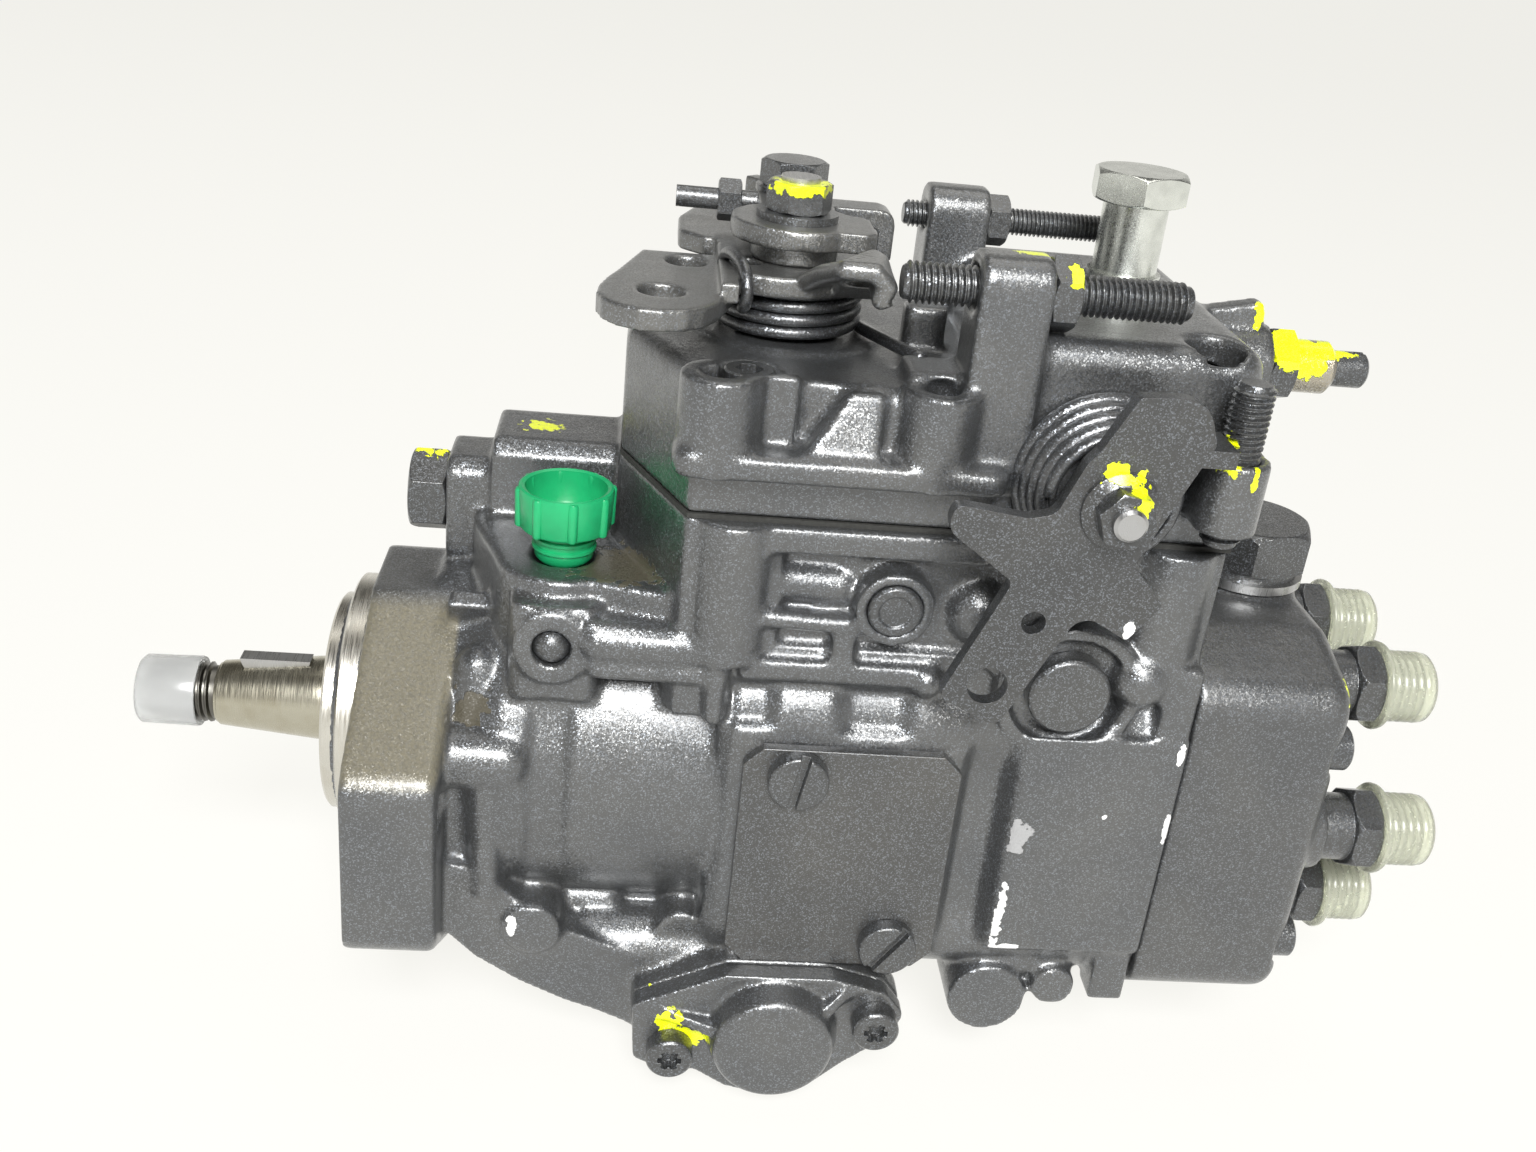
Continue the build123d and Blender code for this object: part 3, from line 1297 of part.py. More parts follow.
def cam_plate():
    """Face cam with one lobe for each outlet, and the jaws that drive it."""
    face = turned_x([(cam_tip_x, 19), (cam_tip_x, cam_radius), (cam_disc_end, cam_radius), (cam_disc_end, 0),
                     (cam_disc_start, 0), (cam_disc_start, 19)])
    valley_radius = 14.0
    for k in range(roller_count):
        valley = rod_z(10, 50, valley_radius, cam_disc_start - valley_radius, 0)
        face -= Rot(360 * (k + 0.5) / roller_count - timing_rest_angle, 0, 0) * valley
    hub = rod_x(claw_disc_end + 8, cam_disc_start + 1, 14)
    jaws = Rot(90, 0, 0) * claw_jaws(claw_disc_end + 1, claw_disc_end + 9)
    return face + hub + jaws


def plunger():
    """Rotating plunger with its foot on the cam plate."""
    foot = rod_x(cam_disc_end, cam_disc_end + 4, 10)
    stem = rod_x(cam_disc_end, plunger_end, plunger_radius)
    return foot + stem - rod_x(plunger_end - 46, plunger_end + 1, 1.5)


def thrust_washer():
    """Washer between the plunger's foot and the spring bridge."""
    start = cam_disc_end + 4
    return rod_x(start, start + 2.8, 12) - rod_x(start - 1, start + 4, plunger_radius + 0.3)


def spring_bridge():
    """Plate that passes the two springs' push to the plunger's foot."""
    half = spring_offset + 8.5
    outline = [(-half, -6), (-half + 3, -8.5), (half - 3, -8.5), (half, -6), (half, 6), (half - 3, 8.5),
               (-half + 3, 8.5), (-half, 6)]
    bridge = prism_x(outline, bridge_start, bridge_end) + rod_x(bridge_start, bridge_end, 13)
    bridge -= rod_x(bridge_start - 1, bridge_end + 1, plunger_radius + 1.5)
    for side in (-1, 1):
        bridge -= rod_x(bridge_start - 1, bridge_end + 1, guide_pin_radius + 0.3, side * spring_offset, 0)
    return bridge


def spring_guide_pins():
    """Pins in the head that the plunger springs stand on."""
    pins = Part()
    for side in (-1, 1):
        pins += rod_x(bridge_start + 1, head_joint_x - 8, guide_pin_radius, side * spring_offset, 0)
    return pins


def plunger_springs():
    """Pair of springs that hold the cam plate on its rollers."""
    springs = Part()
    length = head_joint_x - head_spigot_length - bridge_end - 2 * 1.3
    for side in (-1, 1):
        place = Pos(bridge_end + 1.3, side * spring_offset, 0) * Rot(0, 90, 0)
        springs += place * spring(1.2, 5.6, length, 5, 6)
    return springs


def plunger_barrel():
    """Barrel pressed into the head, in which the plunger pumps."""
    start = head_joint_x - head_spigot_length - 2
    end = head_end_x - 12
    barrel_part = rod_x(start, end, barrel_sleeve_radius)
    return barrel_part - rod_x(start - 1, end - 4, plunger_radius + running_gap)


def timing_piston():
    """Piston across the pump that turns the roller ring through its pin."""
    start = -timing_piston_length / 2 - timing_travel / 2
    end = start + timing_piston_length
    piston = rod_y(start, end, timing_bore_radius - running_gap, timing_x, timing_z)
    middle = (start + end) / 2
    slot = timing_pin_radius + 0.1
    piston -= block(timing_x - slot, timing_x + slot, middle - slot - 1.4, middle + slot + 1.4,
                    timing_z - 5, timing_z + 20)
    return piston - rod_y(end - 14, end + 1, 10, timing_x, timing_z)


def timing_spring():
    """Spring that pushes the timing piston back."""
    start = timing_piston_length / 2 - timing_travel / 2 - 14 + 1.1
    length = timing_half_length + 3 - start - 1.1
    place = Pos(timing_x, start, timing_z) * Rot(-90, 0, 0)
    return place * spring(1.1, 6.8, length, 5, 6)


# ---- throttle lever ------------------------------------------------------------------------

def throttle_lever():
    """Main lever plate: hub, joggled cable arm, stop tab and far stop lobe."""
    bottom, top = throttle_plate_bottom, throttle_plate_top
    plan = [(70, -29, 1.5), (75, -18.6, 3), (86, -18.6, 6), (92, -11.5, 2), (102.5, -11.5, 2.5), (106, 0, 3),
            (102, 12, 3), (94, 20, 4), (88, 27, 4), (83.2, 36.2, 3), (79, 40.4, 3), (72.5, 45, 2.5),
            (65.5, 41, 3), (61.5, 28, 4), (61.5, 14, 3), (70, 6, 1.5)]
    plate = extrude(Plane.XY.offset(bottom) * rounded_face(plan), throttle_plate_thickness)
    drop = throttle_arm_drop
    arm_plan = [(69.4, -32.5, 2), (64.5, -39.5, 5), (50, -39.5, 7), (44.8, -29, 5), (48.5, -12, 4),
                (54, 4, 2), (60, 8, 2.5), (69.4, 6, 0.8)]
    arm = extrude(Plane.XY.offset(bottom - drop) * rounded_face(arm_plan), throttle_plate_thickness)
    step = prism_y([(66, bottom - drop), (67, bottom - drop), (69.5, bottom), (73, bottom), (73, top),
                    (68.6, top), (66, top - drop)], -28, 5.4)
    lever = plate + arm + step + idle_tab() + full_speed_tab()
    lever -= rod_z(100, 130, throttle_shaft_radius, throttle_x, throttle_y)
    for x, y, radius in ((*cable_hole_place, cable_hole_radius), (63.2, -2.5, 4.2), (75.3, -8.5, 3.1)):
        lever -= rod_z(100, 130, radius, x, y)
    return lever - rod_z(100, 130, 3.0, rear_bolt_x, rear_bolt_y)


def idle_tab():
    """Strip that rises from the lever plate and curls down in front of the idle screw."""
    back, front = idle_screw_y + 4, idle_screw_y - 3.2
    face, top = idle_tab_face, stop_screw_z + 4.5
    curl = prism_y([(face - 11.5, top - 3.8), (face - 11.5, top), (face, top), (face, top - 9.2),
                    (face - 3.8, top - 9.2), (face - 3.8, top - 3.8)], front, back)
    outside = curl.edges().filter_by(Axis.Y).sort_by_distance((face, front, top))[0]
    curl = fillet(outside, 3.6)
    inside = curl.edges().filter_by(Axis.Y).sort_by_distance((face - 3.8, front, top - 3.8))[0]
    curl = fillet(inside, 1.2)
    ramp = [(back - 1, top - 3.8), (back - 1, top), (-9, throttle_plate_top), (-9, throttle_plate_bottom),
            (-16, throttle_plate_bottom)]
    return curl + prism_x(ramp, face - 10, face - 1.5)


def full_speed_tab():
    """Upright lobe that meets the far screw at full speed."""
    lobe = block(-4.2, 0, -3.2, 3.2, throttle_plate_bottom, stop_screw_z + 3.5)
    return Pos(81.3, 38.3, 0) * Rot(0, 0, throttle_travel) * lobe


def throttle_drive_plate():
    """Upper plate on the throttle shaft, with its arm and the bent spring hook."""
    bottom = throttle_drive_bottom
    top = bottom + 4
    hub = rod_z(bottom, top, 13.5, throttle_x, throttle_y)
    arm = block(throttle_x, 100.5, -14, 3, bottom, top)
    arm = chamfer(arm.edges().filter_by(Axis.Z).group_by(Axis.X)[-1], 2)
    rear = block(78, 94, throttle_y, rear_bolt_y, bottom, top)
    rear += rod_z(bottom, top, 8, rear_bolt_x, rear_bolt_y)
    strip = block(90, 107.5, 11, 20, bottom, top)
    hook = block(104, 107.5, 11, 20, 110.5, top)
    hook = fillet((strip + hook).edges().filter_by(Axis.Y).group_by(Axis.Z)[-1].sort_by(Axis.X)[-1:], 3)
    plate = hub + arm + rear + hook
    plate += rod_z(throttle_plate_top, bottom, 9, throttle_x, throttle_y)
    plate += rod_z(throttle_plate_top, bottom, 6, rear_bolt_x, rear_bolt_y)
    plate -= rod_z(100, 130, throttle_shaft_radius, throttle_x, throttle_y)
    return plate - rod_z(100, 130, 3.0, rear_bolt_x, rear_bolt_y)


def throttle_lever_bolt():
    """Hexagon bolt that clamps the two throttle plates together."""
    top = throttle_drive_bottom + 4
    bolt = rod_z(throttle_plate_bottom, top, 3.0, rear_bolt_x, rear_bolt_y)
    bolt += rod_z(top, top + 1.2, 8.2, rear_bolt_x, rear_bolt_y)
    return bolt + hex_z(top + 1.2, top + 7, 13.0, rear_bolt_x, rear_bolt_y)


def throttle_link_screw():
    """Small adjusting screw and nut on the throttle's rear plate."""
    screw = rod_x(60.5, 78, 2.3, 19, 119) + hex_x(69.5, 74.5, 8.0, 19, 119)
    return screw


def throttle_shaft():
    """Upright throttle shaft with a crank pin inside the cover."""
    top = throttle_drive_bottom + 4
    shaft = rod_z(83, top, throttle_shaft_radius, throttle_x, throttle_y)
    shaft += rod_z(top, top + 8.5, 4.0, throttle_x, throttle_y)
    shaft += rod_z(83, 87, 9.8, throttle_x, throttle_y)
    return shaft + rod_z(77.5, 83, crank_pin_radius, crank_pin_x, governor_spring_y)


def throttle_nut():
    """Nut and washer on top of the throttle shaft."""
    base = throttle_drive_bottom + 4
    nut = rod_z(base, base + 1.5, 8.4, throttle_x, throttle_y)
    nut += hex_z(base + 1.5, base + 7.5, 12.0, throttle_x, throttle_y, 8)
    return nut - rod_z(base - 1, base + 10, 4.0, throttle_x, throttle_y)


def throttle_spring():
    """Torsion spring round the throttle shaft's boss, with a straight tail."""
    wire = throttle_spring_wire / 2
    low = cover_top + 1 + wire + 0.1
    length = throttle_plate_bottom - low - wire - 0.3
    turns = length / (throttle_spring_wire + 0.08)
    angle = 25.0
    coil = Rot(0, 0, angle) * spring(wire, throttle_spring_radius, length, turns, 8)
    tail = Pos(throttle_spring_radius, 0, 0) * Rot(90, 0, 0) * rod_z(0, 28, wire, 0, 0)
    tail = Rot(0, 0, angle) * tail
    return Pos(throttle_x, throttle_y, low) * (coil + tail)


# ---- stop lever ----------------------------------------------------------------------------

def stop_lever():
    """Flat stop lever: upper lobe, cranked ears and the long cable arm."""
    outline = [
        (-0.5, 22.1, 1.5), (12.2, 22.7, 7), (15.4, 14.0, 2.5), (4.8, -11.0, 2), (12.4, -19.0, 1.5),
        (6.5, -27.0, 1), (-3.3, -21.6, 4), (-15.8, -47.9, 2.5), (-28.4, -41.8, 2), (-17.7, -16.1, 2),
        (-32.0, -6.0, 4), (-30.8, -1.0, 2), (-16.8, -2.8, 3), (-12.0, -1.7, 3), (-7.9, 8.8, 1),
        (-6.0, 11.1, 1),
    ]
    side = Plane(origin=(stop_x, stop_plate_start, stop_z), x_dir=(1, 0, 0), z_dir=(0, -1, 0))
    plate = extrude(side * rounded_face(outline), stop_plate_thickness)
    reach = limit_screw_x - 4.0 - turning_gap
    tab = block(stop_x + 8, reach, stop_plate_end, stop_plate_start, stop_z + 9.5, stop_z + 13)
    tab += block(reach - 3, reach, stop_plate_end, limit_screw_y + 1, stop_z + 9.5, stop_z + 13)
    lever = plate + tab - rod_y(-70, -40, stop_stud_radius, stop_x, stop_z)
    x, z = stop_cable_hole
    lever -= rod_y(-70, -40, stop_cable_hole_radius, stop_x + x, stop_z + z)
    x, z = stop_lever_hole
    return lever - rod_y(-70, -40, stop_lever_hole_radius, stop_x + x, stop_z + z)


def stop_shaft():
    """Cross shaft of the stop lever with its finger inside the cover."""
    shaft = rod_y(stop_plate_start, -20, stop_shaft_radius, stop_x, stop_z)
    stud = rod_y(stop_plate_end - stop_nut_length - 1.8, stop_plate_start, stop_stud_radius, stop_x, stop_z)
    shaft += chamfer(stud.edges().filter_by(GeomType.CIRCLE).group_by(Axis.Y)[0], 0.6)
    finger = block(stop_x - 3, stop_x + 3, -25, -20, stop_z - 20, stop_z)
    return shaft + chamfer(finger.edges().filter_by(Axis.Y).group_by(Axis.Z)[0], 1.5)


def stop_lever_nut():
    """Flanged nut that holds the stop lever."""
    collar = turned([(0, 0), (7.6, 0), (7.6, 0.8), (5.6, 2.2), (0, 2.2)])
    nut = on_near_side(collar, stop_x, stop_plate_end, stop_z)
    nut += hex_y(stop_plate_end - stop_nut_length, stop_plate_end - 1.5, 10.0, stop_x, stop_z, 12)
    return nut - rod_y(-80, -40, stop_stud_radius, stop_x, stop_z)


def stop_spring():
    """Torsion spring round the stop shaft's boss."""
    wire = stop_spring_wire / 2
    near_face = -governor_box_half_width - 2.5
    length = near_face - wire - (stop_plate_start + wire + 0.3)
    turns = length / (stop_spring_wire + 0.08)
    coil = Rot(0, 0, 200) * spring(wire, stop_spring_radius, length, turns, 8)
    return on_near_side(coil, stop_x, near_face - wire, stop_z)


# ---- every piece, one file each ------------------------------------------------------------

def main():
    """Builds every piece and writes its file."""
    os.makedirs("parts", exist_ok=True)
    pieces = {
        # castings and what closes them
        "pump_housing": pump_housing(),
        "governor_cover": governor_cover(),
        "cover_gasket": cover_gasket(),
        "distributor_head": distributor_head(),
        "socket_screws": group(cover_screws(), head_screws()),
        "side_cover_plate": side_cover_plate(),
        "side_cover_screws": side_cover_screws(),
        "side_plugs": group(side_screw_plug(), ball_plug()),
        "timing_covers": group(timing_cover(-1), timing_cover(1)),
        "timing_cover_screws": timing_cover_screws(),
        "governor_pivot_bolts": governor_pivot_bolts(),
        # fuel connections
        "inlet_cap": inlet_cap(),
        "overflow_bolt": overflow_bolt(),
        "delivery_valve_holders": delivery_valve_holders(),
        "delivery_valve_caps": delivery_valve_caps(),
        "head_centre_plug": group(head_centre_plug(), bleed_screw()),
        "shutoff_port_plug": shutoff_port_plug(),
        "shutoff_port_washer": shutoff_port_washer(),
        # adjusting screws
        "full_load_screw": full_load_screw(),
        "full_load_sleeve": full_load_sleeve(),
        "stop_screws": group(idle_stop_screw(), max_speed_screw(), stop_limit_screw()),
        "lock_nuts": group(stop_screw_nuts(), full_load_nut()),
        # drive shaft and supply pump
        "drive_shaft": drive_shaft(),
        "shaft_key": woodruff_disc(),
        "shaft_thread_cap": shaft_thread_cap(),
        "shaft_oil_seal": shaft_oil_seal(),
        "shaft_bush": shaft_bush(),
        "vane_pump_ring": vane_pump_ring(),
        "vane_pump_cover": vane_pump_cover(),
        "pump_rotor": group(pump_rotor(), pump_vanes()),
        "drive_gear": drive_gear(),
        "cross_disc": cross_disc(),
        # governor
        "governor_shaft": group(governor_shaft(), governor_shaft_nut()),
        "governor_carrier": governor_carrier(),
        "flyweight_1": flyweight(0),
        "flyweight_2": flyweight(1),
        "flyweight_3": flyweight(2),
        "flyweight_4": flyweight(3),
        "governor_sleeve": governor_sleeve(),
        "governor_lever": governor_lever(),
        "governor_spring": governor_spring(),
        "control_sleeve": control_sleeve(),
        # cam drive and plunger
        "roller_ring": roller_ring(),
        "cam_rollers": group(cam_rollers(), roller_pins()),
        "cam_plate": cam_plate(),
        "plunger": group(plunger(), thrust_washer()),
        "plunger_barrel": plunger_barrel(),
        "spring_bridge": spring_bridge(),
        "plunger_springs": group(plunger_springs(), spring_guide_pins()),
        "timing_piston": timing_piston(),
        "timing_spring": timing_spring(),
        # throttle and stop levers
        "throttle_lever": throttle_lever(),
        "throttle_drive_plate": throttle_drive_plate(),
        "throttle_fasteners": group(throttle_nut(), throttle_lever_bolt(), throttle_link_screw()),
        "throttle_shaft": throttle_shaft(),
        "throttle_spring": throttle_spring(),
        "stop_lever": stop_lever(),
        "stop_shaft": stop_shaft(),
        "stop_lever_nut": stop_lever_nut(),
        "stop_spring": stop_spring(),
    }
    for name, shape in pieces.items():
        export_step(shape, f"parts/{name}.step")


main()
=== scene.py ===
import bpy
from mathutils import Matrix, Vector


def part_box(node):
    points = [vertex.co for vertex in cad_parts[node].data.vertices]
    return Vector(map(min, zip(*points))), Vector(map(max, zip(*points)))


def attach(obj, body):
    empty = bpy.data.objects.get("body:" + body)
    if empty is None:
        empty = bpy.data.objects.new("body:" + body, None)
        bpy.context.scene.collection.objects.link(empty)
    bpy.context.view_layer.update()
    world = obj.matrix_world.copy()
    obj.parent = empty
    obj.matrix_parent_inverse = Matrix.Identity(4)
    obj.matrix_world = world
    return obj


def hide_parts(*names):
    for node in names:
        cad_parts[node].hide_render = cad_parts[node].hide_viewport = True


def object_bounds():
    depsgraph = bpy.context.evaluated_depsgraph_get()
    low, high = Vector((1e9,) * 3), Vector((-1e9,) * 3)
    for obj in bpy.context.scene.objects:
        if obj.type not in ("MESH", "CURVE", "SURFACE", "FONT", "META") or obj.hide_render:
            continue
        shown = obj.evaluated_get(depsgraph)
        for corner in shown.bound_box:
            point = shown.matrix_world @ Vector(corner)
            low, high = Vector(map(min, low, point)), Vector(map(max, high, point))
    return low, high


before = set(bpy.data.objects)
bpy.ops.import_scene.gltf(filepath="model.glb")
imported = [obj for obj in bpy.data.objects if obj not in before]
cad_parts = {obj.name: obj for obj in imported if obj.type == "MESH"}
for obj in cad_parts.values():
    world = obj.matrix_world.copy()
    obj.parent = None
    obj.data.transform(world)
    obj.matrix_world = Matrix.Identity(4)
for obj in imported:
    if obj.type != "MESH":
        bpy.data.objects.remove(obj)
cad_box = [list(corner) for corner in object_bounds()]

import math

import bmesh
import bpy
from mathutils import Matrix, Vector

# Lengths below are millimetres in the pump's own frame; piece() turns them into metres.
MM = 0.001
PER_METRE = 1000

# Colours of the marks on the paint: marking paint, chips, rubbed metal, dirt, and the tan tint on
# the flange's rim.
YELLOW = (0.80, 0.88, 0.0)
CHIP = (0.82, 0.82, 0.80)
BARE = (0.33, 0.33, 0.33)
DIRT = (0.072, 0.064, 0.044)
TAN_RIM_COLOUR = (0.175, 0.158, 0.108)

# How far a mark's edge wanders, as a share of its reach; its finest notch; its thickness.
RAGGED = 0.45
FINEST_NOTCH = 2.0
MARK_HEIGHT = 0.18

# The paint, and the width, colour, brightness and lean of the metal flakes in it.
CHARCOAL = (0.115, 0.118, 0.120)
SCREW_CHARCOAL = (0.085, 0.087, 0.088)
PAINT_SHEEN = 0.75
FLAKE = 0.24
FLAKE_COLOUR = (0.42, 0.46, 0.52)
GLITTER = 0.38
LEAN = 0.38

# Tool marks on turned metal: their stretch round the axis and their depth.
TOOL_MARK_STRETCH = 0.04
TOOL_MARK_DEPTH = 0.008


# ---- surfaces ------------------------------------------------------------------------------

def finish(name, colour, metallic, roughness, **sockets):
    """A material with its plain values set on the shader."""
    material = bpy.data.materials.new(name)
    material.use_nodes = True
    shader = shader_of(material)
    shader.inputs["Base Color"].default_value = (*colour, 1)
    shader.inputs["Metallic"].default_value = metallic
    shader.inputs["Roughness"].default_value = roughness
    for socket, value in sockets.items():
        shader.inputs[socket.replace("_", " ")].default_value = value
    material.diffuse_color = (*colour, 1)
    return material


def add(material, kind, **sockets):
    """One node, with its unlinked sockets set by name."""
    node = material.node_tree.nodes.new(kind)
    for socket, value in sockets.items():
        node.inputs[socket.replace("_", " ")].default_value = value
    return node


def link(material, source, target):
    material.node_tree.links.new(source, target)


def shader_of(material):
    return material.node_tree.nodes["Principled BSDF"]


def onto(material, socket, source):
    """Feeds one of the shader's sockets."""
    link(material, source, shader_of(material).inputs[socket])


def place_on(material):
    """The piece's own coordinates in metres."""
    for node in material.node_tree.nodes:
        if node.bl_idname == "ShaderNodeTexCoord":
            return node.outputs["Object"]
    return add(material, "ShaderNodeTexCoord").outputs["Object"]


def noise(material, size, detail, stretch=(1, 1, 1)):
    """Noise from 0 to 1 with features about `size` millimetres wide."""
    mapping = add(material, "ShaderNodeMapping", Scale=stretch)
    texture = add(material, "ShaderNodeTexNoise", Scale=1 / (size * MM), Detail=detail)
    link(material, place_on(material), mapping.inputs["Vector"])
    link(material, mapping.outputs["Vector"], texture.inputs["Vector"])
    return texture.outputs["Fac"]


def spread(material, source, low, high, to_low, to_high):
    """Maps a value from one range to another and stops at its ends."""
    node = add(material, "ShaderNodeMapRange")
    for socket, value in zip(("From Min", "From Max", "To Min", "To Max"),
                             (low, high, to_low, to_high)):
        node.inputs[socket].default_value = value
    link(material, source, node.inputs["Value"])
    return node.outputs["Result"]


def calculated(material, operation, first, second):
    """A sum, product or maximum of two values."""
    node = add(material, "ShaderNodeMath")
    node.operation = operation
    link(material, first, node.inputs[0])
    link(material, second, node.inputs[1])
    return node.outputs["Value"]


def blend_colour(material, factor, first, second):
    """Mixes two colours; either is a plain colour or a socket."""
    node = material.node_tree.nodes.new("ShaderNodeMix")
    node.data_type = "RGBA"
    link(material, factor, node.inputs["Factor"])
    for source, target in ((first, node.inputs[6]), (second, node.inputs[7])):
        if isinstance(source, tuple):
            target.default_value = (*source, 1)
        else:
            link(material, source, target)
    return node.outputs[2]


def shaded(colour, shares):
    """The colour with its red, green and blue scaled."""
    return tuple(value * share for value, share in zip(colour, shares))


def bump(material, source, height, under=None):
    """Raises the surface by `height` millimetres where the source is 1."""
    node = add(material, "ShaderNodeBump", Strength=1.0, Distance=height * MM)
    link(material, source, node.inputs["Height"])
    if under is not None:
        link(material, under, node.inputs["Normal"])
    return node.outputs["Normal"]


def dab(material, centre, reach):
    """1 inside a ragged dab round a centre; reach is its half size along X, Y and Z."""
    local = add(material, "ShaderNodeMapping")
    local.vector_type = "TEXTURE"
    local.inputs["Location"].default_value = [value * MM for value in centre]
    local.inputs["Scale"].default_value = [value * MM for value in reach]
    link(material, place_on(material), local.inputs["Vector"])
    length = add(material, "ShaderNodeVectorMath")
    length.operation = "LENGTH"
    link(material, local.outputs["Vector"], length.inputs[0])
    edge = noise(material, max(FINEST_NOTCH, 0.7 * min(reach)), 4.0)
    wander = spread(material, edge, 0.3, 0.7, -RAGGED, RAGGED)
    distance = calculated(material, "ADD", length.outputs["Value"], wander)
    return spread(material, distance, 0.97, 1.03, 1.0, 0.0)


def between(material, axis, low, high, fade):
    """1 where the place along an axis lies between two lengths in millimetres."""
    split = add(material, "ShaderNodeSeparateXYZ")
    link(material, place_on(material), split.inputs["Vector"])
    value = split.outputs["XYZ".index(axis)]
    rise = spread(material, value, (low - fade) * MM, (low + fade) * MM, 0.0, 1.0)
    fall = spread(material, value, (high - fade) * MM, (high + fade) * MM, 1.0, 0.0)
    return calculated(material, "MULTIPLY", rise, fall)


def tan_rim_mask(material):
    """1 on the flange's rim, where the paint takes a grainy tan tint."""
    grain = spread(material, noise(material, 0.7, 6.0), 0.30, 0.70, 0.62, 1.0)
    rim = calculated(material, "MULTIPLY", between(material, "Z", 10.5, 34.0, 1.2),
                     between(material, "X", -1.0, 19.8, 0.5))
    return calculated(material, "MULTIPLY", rim, grain)


def tilted(material, cells, relief):
    """The surface's slope, leaning a little another way in each flake."""
    lean = add(material, "ShaderNodeVectorMath")
    lean.operation = "MULTIPLY_ADD"
    link(material, cells, lean.inputs[0])
    lean.inputs[1].default_value = (LEAN, LEAN, LEAN)
    lean.inputs[2].default_value = (-LEAN / 2, -LEAN / 2, -LEAN / 2)
    total = add(material, "ShaderNodeVectorMath")
    total.operation = "ADD"
    link(material, relief, total.inputs[0])
    link(material, lean.outputs["Vector"], total.inputs[1])
    unit = add(material, "ShaderNodeVectorMath")
    unit.operation = "NORMALIZE"
    link(material, total.outputs["Vector"], unit.inputs[0])
    return unit.outputs["Vector"]


def paint(name, colour=CHARCOAL, cast=1.0, gloss=0.36, marks=(), tinted_rim=False):
    """Sprayed paint with metal flakes, over cast or rolled metal.

    `cast` scales the relief of the metal below. Each mark is (colour, centre, reach): a ragged
    dab of another paint, of dirt or of bare metal.
    """
    material = finish(name, colour, PAINT_SHEEN, gloss, Coat_Weight=0.80, Coat_Roughness=0.28)
    cloud = spread(material, noise(material, 20.0, 5.0), 0.35, 0.65, 0.0, 1.0)
    tone = blend_colour(material, cloud, shaded(colour, (0.90, 0.90, 0.90)),
                        shaded(colour, (1.10, 1.08, 1.04)))
    flake = add(material, "ShaderNodeTexVoronoi", Scale=1 / (FLAKE * MM))
    link(material, place_on(material), flake.inputs["Vector"])
    split = add(material, "ShaderNodeSeparateColor")
    link(material, flake.outputs["Color"], split.inputs["Color"])
    glitter = spread(material, split.outputs["Red"], 0.70, 1.0, 0.0, GLITTER)
    tone = blend_colour(material, glitter, tone, FLAKE_COLOUR)
    rough = spread(material, noise(material, 6.0, 5.0), 0.3, 0.7, gloss - 0.06, gloss + 0.10)
    relief = bump(material, noise(material, 5.0, 3.0), 0.10 * cast)
    relief = bump(material, noise(material, 1.1, 3.0), 0.015 + 0.04 * cast, relief)

    # On the flange's rim the paint is tinted tan and loses its metal sheen.
    tan_rim = tan_rim_mask(material) if tinted_rim else None
    if tinted_rim:
        tone = blend_colour(material, tan_rim, tone, TAN_RIM_COLOUR)
    marked = None
    for mark_colour, centre, reach in marks:
        mask = dab(material, centre, reach)
        tone = blend_colour(material, mask, tone, mark_colour)
        marked = mask if marked is None else calculated(material, "MAXIMUM", marked, mask)
    if marks:
        relief = bump(material, marked, MARK_HEIGHT, relief)
    dull = [mask for mask in (tan_rim, marked) if mask is not None]
    if dull:
        hidden = dull[0] if len(dull) == 1 else calculated(material, "MAXIMUM", *dull)
        onto(material, "Metallic", spread(material, hidden, 0.0, 1.0, PAINT_SHEEN, 0.0))
    onto(material, "Base Color", tone)
    onto(material, "Roughness", rough)
    onto(material, "Coat Normal", relief)
    onto(material, "Normal", tilted(material, flake.outputs["Color"], relief))
    return material


def machined(name, colour, roughness, axis="X", lines=0.25, tarnish=0.25):
    """Bare turned or ground metal with fine tool marks round its axis and a little tarnish."""
    material = finish(name, colour, 1.0, roughness)
    stretch = [TOOL_MARK_STRETCH] * 3
    stretch["XYZ".index(axis)] = 1.0
    marks = noise(material, lines, 2.0, stretch)
    stain = spread(material, noise(material, 6.0, 5.0), 0.45, 0.75, 0.0, tarnish)
    brown = shaded(colour, (0.62, 0.55, 0.42))
    onto(material, "Base Color", blend_colour(material, stain, colour, brown))
    rough = spread(material, marks, 0.3, 0.7, roughness - 0.06, roughness + 0.10)
    onto(material, "Roughness", rough)
    onto(material, "Normal", bump(material, marks, TOOL_MARK_DEPTH))
    return material


def plated(name, colour, roughness=0.26):
    """Zinc plate with its fine dull grain."""
    material = finish(name, colour, 1.0, roughness)
    grain = noise(material, 0.35, 4.0)
    cloud = spread(material, noise(material, 4.0, 4.0), 0.35, 0.7, 0.0, 1.0)
    dull = shaded(colour, (0.80, 0.80, 0.80))
    onto(material, "Base Color", blend_colour(material, cloud, colour, dull))
    rough = spread(material, grain, 0.3, 0.7, roughness - 0.05, roughness + 0.10)
    onto(material, "Roughness", rough)
    onto(material, "Normal", bump(material, grain, 0.012))
    return material


def plastic(name, colour, roughness, through=0.0, shade=0.85):
    """Moulded plastic, clear where `through` is above 0."""
    material = finish(name, colour, 0.0, roughness, Transmission_Weight=through, IOR=1.47)
    cloud = spread(material, noise(material, 5.0, 3.0), 0.35, 0.65, 0.0, 1.0)
    deep = shaded(colour, (shade, shade, shade))
    onto(material, "Base Color", blend_colour(material, cloud, deep, colour))
    fine = noise(material, 0.9, 3.0)
    rough = spread(material, fine, 0.3, 0.7, roughness - 0.05, roughness + 0.06)
    onto(material, "Roughness", rough)
    onto(material, "Normal", bump(material, fine, 0.015))
    return material


